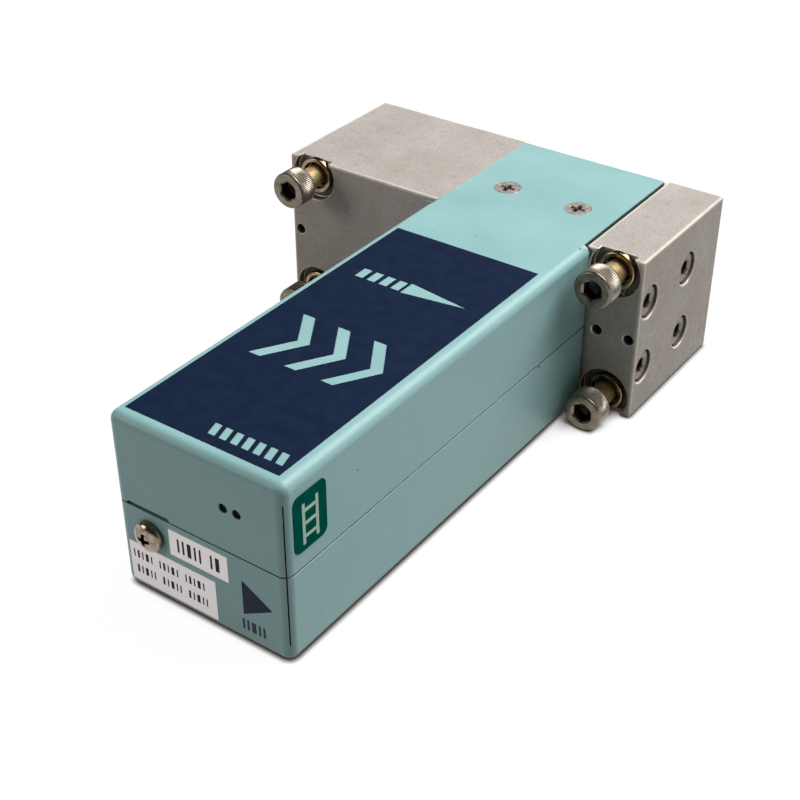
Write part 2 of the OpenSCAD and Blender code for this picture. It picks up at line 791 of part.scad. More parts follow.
module upper_cover() color("#9ccac7") placed() difference() {
    intersection() {
        case_shell();
        half_space(seam_z + seam_gap / 2, case_h + cut);
    }
    // Notch in the lower edge of the end wall
    along_y(near_y - cut, inner_y + cut) translate([wall_l + notch_inset, seam_z])
        polygon([[-notch_w / 2 - notch_h, 0], [notch_w / 2 + notch_h, 0],
            [notch_w / 2, seam_gap / 2 + notch_h], [-notch_w / 2, seam_gap / 2 + notch_h]]);
    // Holes in front of the indicator lamps
    for (x = [-1, 1])
        hole_y(lamp_x + x * lamp_pitch / 2, lamp_z, lamp_hole_d, near_y - cut, inner_y + cut);
}

module lower_cover() color("#7d9c99") placed() difference() {
    intersection() {
        case_shell();
        half_space(-cut, seam_z - seam_gap / 2);
    }
    hole_y(pan_x, pan_z, pan_screw_d + 2 * slide_gap, near_y - cut, inner_y + cut);
}

module cover_screws() color("#a8a29a") placed() cover_screw_places()
    flat_screw(cover_screw_d, cover_screw_len, cover_screw_head_d);

module end_screw() color("#c8bfae") placed() facing_front(pan_x, near_y, pan_z)
    pan_screw(pan_screw_d, pan_screw_len, pan_head_d, pan_head_h, 0.5 * pan_head_d);

// ---- Labels --------------------------------------------------------------------------------

// Chevron that points along +X, centred
module chevron(w, h, stroke) {
    polygon([[-w / 2, -h / 2], [-w / 2 + stroke, -h / 2], [w / 2, 0], [-w / 2 + stroke, h / 2],
        [-w / 2, h / 2], [w / 2 - stroke, 0]]);
}

module top_label() color("#1e2d47") placed()
    translate([cover_x - top_label_offset, label_end, case_h]) linear_extrude(film_t)
        difference() {
            translate([-top_label_w / 2, -top_label_len]) square([top_label_w, top_label_len]);
            translate([flow_arrow_x, -flow_arrow_inset]) flow_arrow();
            translate([chevron_x, -chevron_inset]) chevron_row();
            translate([end_bars_x, end_bars_inset - top_label_len]) slanted_bars();
        }

// Flow arrow with a row of short bars behind its tail
module flow_arrow() {
    polygon([[0, -flow_arrow_w / 2], [flow_arrow_len, 0], [0, flow_arrow_w / 2]]);
    for (i = [0:tail_bar_count - 1]) translate([-(i + 0.55) * tail_bar_pitch, 0])
        square([tail_bar_w, 0.85 * flow_arrow_w], center = true);
}

module chevron_row() {
    for (i = [0:chevron_count - 1])
        translate([(i - (chevron_count - 1) / 2) * (chevron_w + chevron_gap), 0])
            chevron(chevron_w, chevron_h, chevron_stroke);
}

module slanted_bars() {
    for (i = [0:end_bar_count - 1]) translate([i * end_bar_pitch, 0])
        polygon([[0, 0], [end_bar_w, 0], [end_bar_w - end_bar_slant, end_bar_h],
            [-end_bar_slant, end_bar_h]]);
}

module side_label() color("#0e6b5a") placed()
    along_x(wall_r, wall_r + film_t)
        translate([near_y + side_label_inset + side_label_len / 2,
            case_h - bend_r - side_label_drop - side_label_h / 2])
            round_rect(side_label_len, side_label_h, side_label_r);

// A flat film on the end wall, between two corners in X and Z
module end_film(x0, z0, w, h) {
    along_y(near_y - film_t, near_y) translate([x0, z0]) square([w, h]);
}

module end_label_small() color("#cfc9c7") placed()
    end_film(cover_x - small_label_offset, small_label_z, small_label_w, small_label_h);

module end_label_large() color("#cfc9c7") placed() difference() {
    end_film(wall_l + bend_r, bend_r, large_label_w, large_label_h);
    hole_y(pan_x, pan_z, pan_head_d + 2 * slide_gap, near_y - cut, near_y + cut);
}

module end_arrow_mark() color("#1e2d47") placed()
    along_y(near_y - film_t, near_y) translate([cover_x + end_arrow_offset, mid_z - end_arrow_drop])
        polygon([[0, -end_arrow_h / 2], [end_arrow_w, 0], [0, end_arrow_h / 2]]);

// ---- Valve and actuator --------------------------------------------------------------------

module valve_seat() color("#d8d4c8") placed() difference() {
    hole_y(valve_x, mid_z, seat_d, chamber_floor - seat_h, chamber_floor);
    hole_y(valve_x, mid_z, seat_bore_d, chamber_depth - cut, chamber_floor + cut);
}

module valve_diaphragm() color("#cfcfcf") placed()
    hole_y(valve_x, mid_z, chamber_d - 2 * slide_gap, chamber_depth - diaphragm_t,
        chamber_depth);

module valve_bonnet() color("#b8b2aa") placed() difference() {
    union() {
        span([valve_x - bonnet_w / 2, -bonnet_t, mid_z - bonnet_h / 2],
            [valve_x + bonnet_w / 2, 0, mid_z + bonnet_h / 2]);
        hole_y(valve_x, mid_z, chamber_d - 2 * slide_gap, -cut, chamber_depth - diaphragm_t);
        hole_y(valve_x, mid_z, neck_d, actuator_y, -cut);
    }
    hole_y(valve_x, mid_z, stem_d + 2 * slide_gap, actuator_y - cut, chamber_depth);
    facing_front(valve_x, 0, mid_z) four(bonnet_pitch, bonnet_pitch_z)
        translate([0, 0, -cut]) cylinder(d = bonnet_screw_d + hole_clear, h = bonnet_t + 2 * cut);
}

module bonnet_screws() color("#55524e") placed()
    facing_front(valve_x, -bonnet_t, mid_z) four(bonnet_pitch, bonnet_pitch_z)
        cap_screw(bonnet_screw_d, bonnet_screw_len, bonnet_head_d, bonnet_head_h, bonnet_hex);

module valve_stem() color("#c6c2ba") placed()
    hole_y(valve_x, mid_z, stem_d, stack_y, chamber_depth - diaphragm_t);

module actuator_case() color("#b9b5ae") placed() difference() {
    hole_y(valve_x, mid_z, actuator_d, actuator_end, actuator_y);
    hole_y(valve_x, mid_z, actuator_d - 2 * actuator_wall, actuator_end - cut, stack_y);
    hole_y(valve_x, mid_z, stem_d + 2 * slide_gap, stack_y - cut, actuator_y + cut);
}

module piezo_stack() color("#3b3a38") placed()
    span([valve_x - stack_w / 2, plug_y, mid_z - stack_w / 2],
        [valve_x + stack_w / 2, stack_y, mid_z + stack_w / 2]);

module actuator_cap() color("#a8a49c") placed() {
    hole_y(valve_x, mid_z, actuator_d - 2 * actuator_wall - 2 * slide_gap, actuator_end - cut,
        plug_y);
    hole_y(valve_x, mid_z, actuator_d, cap_end, actuator_end);
}

// ---- Sensors -------------------------------------------------------------------------------

module pressure_sensor() color("#b4afa8") placed() {
    facing_front(sensor_x, -sensor_gasket_t, mid_z)
        rotate([0, 0, 30]) cylinder(d = sensor_af / cos(30), h = sensor_hex_h, $fn = 6);
    hole_y(sensor_x, mid_z, sensor_thread_d, -sensor_gasket_t - cut,
        sensor_thread_len - sensor_gasket_t);
    hole_y(sensor_x, mid_z, sensor_body_d, sensor_end, sensor_hex_y + cut);
}

module sensor_gasket() color("#8f7a4c") placed() difference() {
    hole_y(sensor_x, mid_z, sensor_af - 2 * gasket_inset, -sensor_gasket_t, 0);
    hole_y(sensor_x, mid_z, sensor_thread_d + 2 * slide_gap, -sensor_gasket_t - cut, cut);
}

module temperature_sensor() color("#8d8d8d") placed() {
    hole_y(probe_x, probe_z, probe_d, -cut / 2, probe_len);
    hole_y(probe_x, probe_z, probe_head_d, -probe_head_t, 0);
}

// ---- Chassis -------------------------------------------------------------------------------

// The two foot screws, with their seats level at y
module foot_screw_places(y) {
    for (x = [chassis_l + foot_screw_in, sensor_x - sensor_af / 2])
        facing_front(x, y, foot_screw_z) children();
}

module chassis_bracket() color("#c9c6bf") placed() difference() {
    union() {
        // Floor, foot, side wall and end tab of the folded sheet
        span([chassis_l, chassis_end, floor_z], [side_x + chassis_t, 0, floor_top]);
        span([chassis_l, -chassis_t, floor_z], [side_x + chassis_t, 0, floor_z + foot_h]);
        span([side_x, chassis_end, floor_z], [side_x + chassis_t, side_start, chassis_top]);
        span([chassis_l, chassis_end, floor_z],
            [chassis_l + tab_w, chassis_end + chassis_t, tab_top]);
    }
    foot_screw_places(0) translate([0, 0, -cut])
        cylinder(d = foot_screw_d + 2 * slide_gap, h = chassis_t + 2 * cut);
    hole_y(pan_x, pan_z, pan_screw_d + 2 * thread_gap, chassis_end - cut,
        chassis_end + chassis_t + cut);
    main_spacer_places() hole_x(0, 0, board_screw_d + 2 * slide_gap, side_x - cut,
        side_x + chassis_t + cut);
    hole_y(panel_spacer_x, panel_spacer_z, board_screw_d + 2 * slide_gap, chassis_end - cut,
        chassis_end + chassis_t + cut);
}

module bracket_screws() color("#9a958d") placed() foot_screw_places(-chassis_t)
    pan_screw(foot_screw_d, foot_screw_len, foot_head_d, foot_head_h, 0.5 * foot_head_d);

// ---- Circuit boards ------------------------------------------------------------------------

module main_spacer_places() {
    for (y = [conn_y, board_start - screw_edge],
            z = [board_z0 + screw_edge, board_z1 - screw_edge])
        translate([0, y, z]) children();
}

module conn_spacer_places() {
    for (y = [-1, 1]) translate([0, conn_y + y * (conn_board_len / 2 - screw_edge),
        board_z0 + conn_spacer_z]) children();
}

module main_board() color("#1f5a3a") placed() difference() {
    span([board_x, board_end, board_z0], [board_x + board_t, board_start, board_z1]);
    main_spacer_places() hole_x(0, 0, board_screw_d + 2 * slide_gap, board_x - cut,
        board_x + board_t + cut);
    conn_spacer_places() hole_x(0, 0, board_screw_d + 2 * slide_gap, board_x - cut,
        board_x + board_t + cut);
}

// Chips and plugs on the inner face of the main board
module board_parts() color("#2b2b2d") placed() {
    for (i = [0:chip_count - 1])
        translate([board_x - chip_h, board_start - chip_inset - chip_w - i * (chip_w + chip_gap),
            board_z1 - chip_drop - chip_w]) cube([chip_h, chip_w, chip_w]);
    for (i = [0:chip_count - 1])
        translate([board_x - small_chip_h,
            board_start - small_chip_inset - i * (small_chip_w + small_chip_gap),
            board_z0 + small_chip_rise]) cube([small_chip_h, small_chip_w, small_chip_l]);
    // Plug of the pressure sensor's lead, then plug of the piezo stack's lead
    span([sensor_x - socket_w / 2, board_start - socket_w - part_gap, sensor_lead_z - socket_h / 2],
        [board_x, board_start - part_gap, sensor_lead_z + socket_h / 2]);
    span([board_x - socket_w, piezo_lead_y - socket_w / 2, mid_z - socket_h / 2],
        [board_x, piezo_lead_y + socket_w / 2, mid_z + socket_h / 2]);
}

module interface_board() color("#1f5a3a") placed() difference() {
    span([chassis_l, panel_y, board_z0], [board_x - part_gap, panel_back, board_z1]);
    hole_y(panel_spacer_x, panel_spacer_z, board_screw_d + 2 * slide_gap, panel_y - cut,
        panel_back + cut);
}

module connector_board() color("#1f5a3a") placed() difference() {
    span([conn_board_x, conn_y - conn_board_len / 2, board_z0],
        [conn_board_x + board_t, conn_y + conn_board_len / 2, board_z1]);
    conn_spacer_places() hole_x(0, 0, board_screw_d + 2 * slide_gap, conn_board_x - cut,
        conn_board_x + board_t + cut);
}

module board_spacers() color("#b7a465") placed() difference() {
    union() {
        main_spacer_places() hole_x(0, 0, spacer_d, side_x - spacer_h, side_x);
        conn_spacer_places() hole_x(0, 0, spacer_d, conn_board_x + board_t, board_x);
        hole_y(panel_spacer_x, panel_spacer_z, spacer_d, chassis_end + chassis_t, panel_y);
    }
    main_spacer_places() hole_x(0, 0, board_screw_d + 2 * thread_gap, side_x - spacer_h - cut,
        side_x + cut);
    conn_spacer_places() hole_x(0, 0, board_screw_d + 2 * thread_gap,
        conn_board_x + board_t - cut, board_x + cut);
    hole_y(panel_spacer_x, panel_spacer_z, board_screw_d + 2 * thread_gap,
        chassis_end + chassis_t - cut, panel_y + cut);
}

// One screw through each board into its spacer, with +Z out of the board
module board_screws() color("#9a958d") placed() {
    reach = board_t + spacer_h;
    main_spacer_places() translate([board_x, 0, 0]) rotate([0, -90, 0]) board_screw(reach);
    conn_spacer_places() translate([conn_board_x, 0, 0]) rotate([0, -90, 0]) board_screw(reach);
    conn_spacer_places() translate([board_x + board_t, 0, 0]) rotate([0, 90, 0])
        board_screw(reach);
    facing_front(panel_spacer_x, panel_back, panel_spacer_z) rotate([180, 0, 0])
        board_screw(reach);
}

module board_screw(len) {
    pan_screw(board_screw_d, len, board_head_d, board_head_h, 0.5 * board_head_d);
}

module board_header() color("#2b2b2d") placed()
    span([board_x - header_w, panel_back, mid_z - header_h / 2],
        [board_x, panel_back + header_len, mid_z + header_h / 2]);

module indicator_lamps() color("#20262a") placed() {
    span([lamp_x - lamp_pitch, inner_y + part_gap, lamp_z - lamp_flange_h / 2],
        [lamp_x + lamp_pitch, panel_y, lamp_z + lamp_flange_h / 2]);
    for (x = [-1, 1]) hole_y(lamp_x + x * lamp_pitch / 2, lamp_z, lamp_tip_d,
        near_y + lamp_tip, inner_y + part_gap + cut);
}

// ---- Side connector ------------------------------------------------------------------------

// Outline of the shell in Y and Z, wider at the top, reduced by inset on each side
module shell_outline(inset) {
    h = conn_shell_h / 2 - inset;
    top = conn_shell_len / 2 - inset;
    low = top - 2 * h * tan(conn_taper);
    polygon([[-top, h], [-low, -h], [low, -h], [top, h]]);
}

module jack_places() {
    for (y = [-1, 1]) translate([0, conn_y + y * jack_pitch / 2, conn_z]) children();
}

module side_connector() color("#c4c0b8") placed() difference() {
    union() {
        span([conn_face, conn_y - conn_flange_len / 2, conn_z - conn_flange_h / 2],
            [conn_back, conn_y + conn_flange_len / 2, conn_z + conn_flange_h / 2]);
        along_x(conn_face - conn_shell_out, conn_face + conn_sheet_t / 2)
            translate([conn_y, conn_z]) shell_outline(0);
    }
    along_x(conn_face - conn_shell_out - cut, conn_back + cut) translate([conn_y, conn_z])
        shell_outline(conn_sheet_t);
    jack_places() hole_x(0, 0, jack_thread_d + 2 * slide_gap, conn_face - cut, conn_back + cut);
}

// Where the pins stand: the long row above, the short row below
module pin_places() {
    for (row = [0, 1], i = [0:pin_count - 1 - row])
        translate([0, conn_y + (i - (pin_count - 1 - row) / 2) * pin_pitch,
            conn_z + (0.5 - row) * pin_row]) children();
}

module connector_insert() color("#26282a") placed() difference() {
    union() {
        along_x(conn_face - conn_insert_out, conn_back + cut / 2) translate([conn_y, conn_z])
            shell_outline(conn_sheet_t + slide_gap);
        span([conn_back, conn_y - conn_shell_len / 2, conn_z - conn_shell_h / 2],
            [conn_board_x, conn_y + conn_shell_len / 2, conn_z + conn_shell_h / 2]);
    }
    pin_places() hole_x(0, 0, pin_d + 2 * thread_gap, conn_face - conn_insert_out - cut,
        conn_board_x + cut);
}

module connector_pins() color("#c9a95b") placed() pin_places()
    hole_x(0, 0, pin_d, conn_face - pin_out, conn_board_x);

module connector_jacks() color("#bdb8ae") placed() jack_places() {
    translate([conn_face, 0, 0]) rotate([0, -90, 0])
        difference() {
            cylinder(d = jack_af / cos(30), h = jack_out, $fn = 6);
            translate([0, 0, cut]) cylinder(d = jack_thread_d, h = jack_out);
        }
    hole_x(0, 0, jack_thread_d, conn_face - cut / 2, conn_board_x);
}

// ---- Inner leads ---------------------------------------------------------------------------

module piezo_lead() color("#b03a2e") placed() {
    hole_y(valve_x, mid_z, lead_d, piezo_lead_y, cap_end);
    translate([valve_x, piezo_lead_y, mid_z]) sphere(d = lead_d);
    hole_x(piezo_lead_y, mid_z, lead_d, valve_x, board_x - socket_w);
}

module sensor_lead() color("#b03a2e") placed()
    hole_y(sensor_x, sensor_lead_z, lead_d, board_start - part_gap, sensor_end);

inlet_body();
outlet_block();
upper_cover();
lower_cover();
mounting_screws();
screw_rings();
outlet_screws();
cover_screws();
end_screw();
top_label();
side_label();
end_label_small();
end_label_large();
end_arrow_mark();
valve_seat();
valve_diaphragm();
valve_bonnet();
bonnet_screws();
valve_stem();
actuator_case();
piezo_stack();
actuator_cap();
pressure_sensor();
sensor_gasket();
orifice_gasket();
temperature_sensor();
chassis_bracket();
bracket_screws();
main_board();
board_parts();
interface_board();
connector_board();
board_spacers();
board_screws();
board_header();
indicator_lamps();
side_connector();
connector_insert();
connector_pins();
connector_jacks();
piezo_lead();
sensor_lead();
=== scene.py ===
import math

import bmesh
import bpy
import numpy as np
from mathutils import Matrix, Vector


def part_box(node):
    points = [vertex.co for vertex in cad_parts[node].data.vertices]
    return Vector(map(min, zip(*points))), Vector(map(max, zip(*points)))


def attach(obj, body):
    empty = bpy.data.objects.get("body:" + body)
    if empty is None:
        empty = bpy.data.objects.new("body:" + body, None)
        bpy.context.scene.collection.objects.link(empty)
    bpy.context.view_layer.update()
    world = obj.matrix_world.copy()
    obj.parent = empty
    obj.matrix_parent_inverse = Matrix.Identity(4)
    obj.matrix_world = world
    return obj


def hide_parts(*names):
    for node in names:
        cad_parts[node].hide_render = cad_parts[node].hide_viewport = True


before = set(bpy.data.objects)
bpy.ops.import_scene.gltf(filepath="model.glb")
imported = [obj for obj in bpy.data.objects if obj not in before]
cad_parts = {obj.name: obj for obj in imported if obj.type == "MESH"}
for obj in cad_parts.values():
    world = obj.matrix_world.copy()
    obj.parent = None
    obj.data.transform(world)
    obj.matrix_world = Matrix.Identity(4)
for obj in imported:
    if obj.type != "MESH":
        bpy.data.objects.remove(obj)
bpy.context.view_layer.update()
mm = 0.001

view = {
    "lens": 65.49,                       # millimetres
    "sensor": 36,
    "clip": 10,
    "place": (155.4, -207.6, 181.2),
    "aim": (12.0, -5.0, 12.75),
}

camera = bpy.data.objects.new("camera", bpy.data.cameras.new("camera"))
camera.data.lens = view["lens"]
camera.data.sensor_width = view["sensor"]
camera.data.clip_start = view["clip"] * mm
camera.location = Vector(view["place"]) * mm
aimLine = Vector(view["aim"]) * mm - camera.location
camera.rotation_euler = aimLine.to_track_quat("-Z", "Y").to_euler()
bpy.context.scene.collection.objects.link(camera)
bpy.context.scene.camera = camera
bpy.context.scene.view_settings.view_transform = "Standard"
print("camera set")


def linearColour(hexText):
    # Each sRGB channel c is c / 12.92 below 0.04045 and ((c + 0.055) / 1.055) ^ 2.4 above it
    srgb = np.array([int(hexText[i:i + 2], 16) for i in (1, 3, 5)]) / 255
    linear = np.where(srgb <= 0.04045, srgb / 12.92, ((srgb + 0.055) / 1.055) ** 2.4)
    return (*linear.tolist(), 1.0)


def addNode(tree, kind, settings=None, links=None):
    # Settings are sockets, by number or name, or the node's own properties
    node = tree.nodes.new(kind)
    for key, value in (settings or {}).items():
        if isinstance(key, int) or key in node.inputs:
            node.inputs[key].default_value = value
        else:
            setattr(node, key, value)
    for key, source in (links or {}).items():
        tree.links.new(source, node.inputs[key])
    return node


def rayShares(tree):
    # 1 for rays from the camera, and 1 for rays from a reflection or through glass
    path = addNode(tree, "ShaderNodeLightPath")
    shiny = addNode(tree, "ShaderNodeMath", {"operation": "MAXIMUM"},
                    {0: path.outputs["Is Glossy Ray"], 1: path.outputs["Is Transmission Ray"]})
    return path.outputs["Is Camera Ray"], shiny.outputs[0]


studio = {
    "floorSize": 3.0,            # metres
    "floorLit": "#FFFFFF",       # as the camera and the metal see it
    "floorGlow": 1.04,
    "floorBounce": "#7E7B76",    # what it gives back to the object
    "contact": 1.3,              # millimetres that the shadow under the edges reaches
    "contactSpan": (0.35, 0.92),     # how open the floor is where that shadow is full and where it ends
    "corner": 14.0,              # the same two in corners with walls on two sides
    "cornerSpan": (0.2, 0.45),
    "shadowSamples": 12,
    "contactTone": "#3A332C",
    "castShadow": 0.06,          # share of the wide shadow that the floor keeps
    "horizon": (0.06, 0.22),     # height of the white sweep's end and of the dim room above it
    "sky": "#FFFFFF",
    "sweepSeen": 0.8,            # level that polished metal shows of the white sweep
    "room": 0.116,               # level of the room's light
    "roomSeen": 0.056,           # level that polished metal shows of the room overhead
    "softboxSize": 0.9,          # metres
    "softboxPlace": (0.3, 0.6, 0.92),
    "softboxWatts": 17.6,
    "softboxTint": (1.0, 1.0, 1.0),
    "fillSize": 0.5,
    "fillPlace": (-0.75, -0.8, 0.45),
    "fillWatts": 2.7,
    "fillTint": (1.0, 0.91, 0.91),
}


def makeFloor():
    size = studio["floorSize"] / 2
    mesh = bpy.data.meshes.new("floor")
    mesh.from_pydata([(-size, -size, 0), (size, -size, 0), (size, size, 0), (-size, size, 0)],
                     [], [(0, 1, 2, 3)])
    floor = bpy.data.objects.new("floor", mesh)
    bpy.context.scene.collection.objects.link(floor)
    material = bpy.data.materials.new("whitePaperSweep")
    material.use_nodes = True
    tree = material.node_tree
    tree.nodes.clear()
    # What is seen is white paper with a shadow painted darker close to the object, and a share of its
    # real shadow
    shares = []
    for name in ("contact", "corner"):
        near = addNode(tree, "ShaderNodeAmbientOcclusion", {"Distance": studio[name] * mm,
                                                            "samples": studio["shadowSamples"]})
        shut, clear = studio[name + "Span"]
        span = addNode(tree, "ShaderNodeMapRange", {"From Min": shut, "From Max": clear},
                       {"Value": near.outputs["AO"]})
        shares.append(span.outputs[0])
    share = addNode(tree, "ShaderNodeMath", {"operation": "MINIMUM"}, {0: shares[0], 1: shares[1]})
    tone = addNode(tree, "ShaderNodeMix", {"data_type": "RGBA", 6: linearColour(studio["contactTone"]),
                                           7: linearColour(studio["floorLit"])}, {0: share.outputs[0]})
    glow = addNode(tree, "ShaderNodeEmission", {"Strength": studio["floorGlow"]},
                   {"Color": tone.outputs[2]})
    paper = addNode(tree, "ShaderNodeBsdfDiffuse", None, {"Color": tone.outputs[2]})
    seenFloor = addNode(tree, "ShaderNodeMixShader", {0: studio["castShadow"]},
                        {1: glow.outputs[0], 2: paper.outputs[0]})
    bounce = addNode(tree, "ShaderNodeBsdfDiffuse", {"Color": linearColour(studio["floorBounce"])})
    fromCamera, fromShine = rayShares(tree)
    seen = addNode(tree, "ShaderNodeMath", {"operation": "MAXIMUM"}, {0: fromCamera, 1: fromShine})
    both = addNode(tree, "ShaderNodeMixShader", None,
                   {0: seen.outputs[0], 1: bounce.outputs[0], 2: seenFloor.outputs[0]})
    addNode(tree, "ShaderNodeOutputMaterial", None, {"Surface": both.outputs[0]})
    mesh.materials.append(material)


def makeLight():
    world = bpy.data.worlds.new("studio")
    bpy.context.scene.world = world
    world.use_nodes = True
    tree = world.node_tree
    tree.nodes.clear()
    # The background is white, in reflections too where they look low, and the room is dim overhead
    way = addNode(tree, "ShaderNodeTexCoord")
    height = addNode(tree, "ShaderNodeSeparateXYZ", None, {0: way.outputs["Generated"]})
    white = addNode(tree, "ShaderNodeMapRange", {"From Min": studio["horizon"][0],
                                                 "From Max": studio["horizon"][1],
                                                 "To Min": studio["sweepSeen"],
                                                 "To Max": studio["roomSeen"]},
                    {"Value": height.outputs["Z"]})
    fromCamera, fromShine = rayShares(tree)
    level = addNode(tree, "ShaderNodeMix", {2: studio["room"]}, {0: fromShine, 3: white.outputs[0]})
    seen = addNode(tree, "ShaderNodeMix", {3: 1.0}, {0: fromCamera, 2: level.outputs[0]})
    sky = addNode(tree, "ShaderNodeBackground", {"Color": linearColour(studio["sky"])},
                  {"Strength": seen.outputs[0]})
    addNode(tree, "ShaderNodeOutputWorld", None, {"Surface": sky.outputs[0]})
    for name in ("softbox", "fill"):
        lamp = bpy.data.lights.new(name, "AREA")
        lamp.shape = "SQUARE"
        lamp.size = studio[name + "Size"]
        lamp.energy = studio[name + "Watts"]
        lamp.color = studio[name + "Tint"]
        card = bpy.data.objects.new(name, lamp)
        card.location = studio[name + "Place"]
        card.rotation_euler = card.location.to_track_quat("Z", "Y").to_euler()
        bpy.context.scene.collection.objects.link(card)


makeFloor()
makeLight()
print("floor and light made")

def startMaterial(name, constants):
    # Returns the material, its nodes, its main shader and the object coordinates
    material = bpy.data.materials.new(name)
    material.use_nodes = True
    tree = material.node_tree
    shader = tree.nodes["Principled BSDF"]
    for socket, value in constants.items():
        shader.inputs[socket].default_value = value
    place = addNode(tree, "ShaderNodeTexCoord").outputs["Object"]
    return material, tree, shader, place


def patches(tree, place, size, detail, low, high):
    # Noise about size millimetres across, drawn out from low...high to 0...1
    noise = addNode(tree, "ShaderNodeTexNoise", {"Scale": 1 / (size * mm), "Detail": detail},
                    {"Vector": place})
    span = addNode(tree, "ShaderNodeMapRange", {"From Min": low, "From Max": high},
                   {"Value": noise.outputs["Fac"]})
    return span.outputs[0]


def layered(tree, tone, *layers):
    # Each layer lays its colour over the last by its share times its strength. A colour is a hex
    # value or a socket
    for share, strength, colour in layers:
        if strength < 1:
            weaker = addNode(tree, "ShaderNodeMath", {"operation": "MULTIPLY", 1: strength}, {0: share})
            share = weaker.outputs[0]
        settings, links = {"data_type": "RGBA"}, {0: share}
        for socket, part in ((6, tone), (7, colour)):
            if isinstance(part, str):
                settings[socket] = linearColour(part)
            else:
                links[socket] = part
        tone = addNode(tree, "ShaderNodeMix", settings, links).outputs[2]
    return tone


crevices = {
    "span": (0.8, 0.25),    # how open a place is where the painted shade starts and where it is full
    "samples": 8,
    "shadeTone": "#0E0C0A",
}


def inCrevices(tree, tone, reach, strength):
    # The tone with shade painted darker where other faces stand within reach millimetres: holes, gaps
    # and corners
    near = addNode(tree, "ShaderNodeAmbientOcclusion", {"Distance": reach * mm,
                                                        "samples": crevices["samples"]})
    clear, shut = crevices["span"]
    share = addNode(tree, "ShaderNodeMapRange", {"From Min": clear, "From Max": shut},
                    {"Value": near.outputs["AO"]})
    return layered(tree, tone, (share.outputs[0], strength, crevices["shadeTone"]))


def nearEdges(tree, place, nodeName, start, end):
    # 1 within start millimetres of an edge of the node's box, falling to 0 at end. Of the distances
    # to the nearest face along each axis, the middle one of the three is the distance to the edge
    apart = addNode(tree, "ShaderNodeSeparateXYZ", None, {0: place})
    low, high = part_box(nodeName)
    away = []
    for axis in range(3):
        middle, half = (low[axis] + high[axis]) / 2, (high[axis] - low[axis]) / 2
        offset = addNode(tree, "ShaderNodeMath", {"operation": "SUBTRACT", 1: middle},
                         {0: apart.outputs[axis]})
        size = addNode(tree, "ShaderNodeMath", {"operation": "ABSOLUTE"}, {0: offset.outputs[0]})
        inward = addNode(tree, "ShaderNodeMath", {"operation": "SUBTRACT", 0: half},
                         {1: size.outputs[0]})
        away.append(inward.outputs[0])
    lesser = addNode(tree, "ShaderNodeMath", {"operation": "MINIMUM"}, {0: away[0], 1: away[1]})
    greater = addNode(tree, "ShaderNodeMath", {"operation": "MAXIMUM"}, {0: away[0], 1: away[1]})
    capped = addNode(tree, "ShaderNodeMath", {"operation": "MINIMUM"},
                     {0: greater.outputs[0], 1: away[2]})
    second = addNode(tree, "ShaderNodeMath", {"operation": "MAXIMUM"},
                     {0: lesser.outputs[0], 1: capped.outputs[0]})
    near = addNode(tree, "ShaderNodeMapRange", {"From Min": start * mm, "From Max": end * mm,
                                                "To Min": 1.0, "To Max": 0.0},
                   {"Value": second.outputs[0]})
    return near.outputs[0]


def finishShader(tree, shader, tone, share, roughness, height=None, relief=0):
    # Roughness runs between its two values with the share, and relief is the height's in millimetres
    rough = addNode(tree, "ShaderNodeMapRange", {"To Min": roughness[0], "To Max": roughness[1]},
                    {"Value": share})
    tree.links.new(rough.outputs[0], shader.inputs["Roughness"])
    tree.links.new(tone, shader.inputs["Base Color"])
    if relief:
        bump = addNode(tree, "ShaderNodeBump", {"Strength": 1.0, "Distance": relief * mm},
                       {"Height": height})
        tree.links.new(bump.outputs[0], shader.inputs["Normal"])


# In these dictionaries a cloud, grain, grit, speck, stain or patch is its size in millimetres, its
# detail, and the noise values where it starts and ends. A tone with a number is a strength and a
# colour, a crevice is the reach in millimetres and the strength of the shade painted into it, and
# relief is in millimetres
paint = {
    "shader": {"IOR": 1.5, "Specular IOR Level": 0.4},
    "cloud": (14.0, 2.0, 0.3, 0.7), "tones": ("#97C4C4", "#A0CBCB"),
    "grain": (0.5, 2.0, 0.35, 0.65), "grainTone": (0.14, "#86B2B0"),
    "speck": (2.6, 1.0, 0.79, 0.81), "speckTone": (1, "#5B6B69"),
    "crevice": (1.8, 0.97), "roughness": (0.34, 0.44), "relief": 0.012,
}


def paintedSheet():
    # Powder-coated steel sheet: satin, with a faint orange peel, a slight mottle and a few dark specks,
    # and shade painted darker into its seams, holes and corners
    material, tree, shader, place = startMaterial("paintedSheet", paint["shader"])
    cloud, grain, speck = (patches(tree, place, *paint[name]) for name in ("cloud", "grain", "speck"))
    tone = layered(tree, paint["tones"][0], (cloud, 1, paint["tones"][1]),
                   (grain, *paint["grainTone"]), (speck, *paint["speckTone"]))
    # Painted shade in seams, holes and corners
    tone = inCrevices(tree, tone, *paint["crevice"])
    finishShader(tree, shader, tone, cloud, paint["roughness"], grain, paint["relief"])
    return material


blockSteel = {
    "shader": {"Metallic": 0.06, "Specular IOR Level": 0.15},
    "cloud": (7.0, 3.0, 0.3, 0.7), "tones": ("#BDB5AD", "#CCC5BE"),
    "grit": (0.55, 3.0, 0.3, 0.7), "gritTone": (0.5, "#988F86"),
    "stain": (2.4, 3.0, 0.58, 0.75), "stainTone": (0.3, "#8B7F72"),
    "edge": (0.25, 0.8),           # millimetres from the edge where the rub is full and where it ends
    "edgeShare": (0.55, 1.0),      # how strong it is in the two tones of the cloud
    "edgeTone": (1, "#F6EEDF"),
    "crevice": (3.0, 0.9), "roughness": (0.5, 0.62), "relief": 0.02,
}


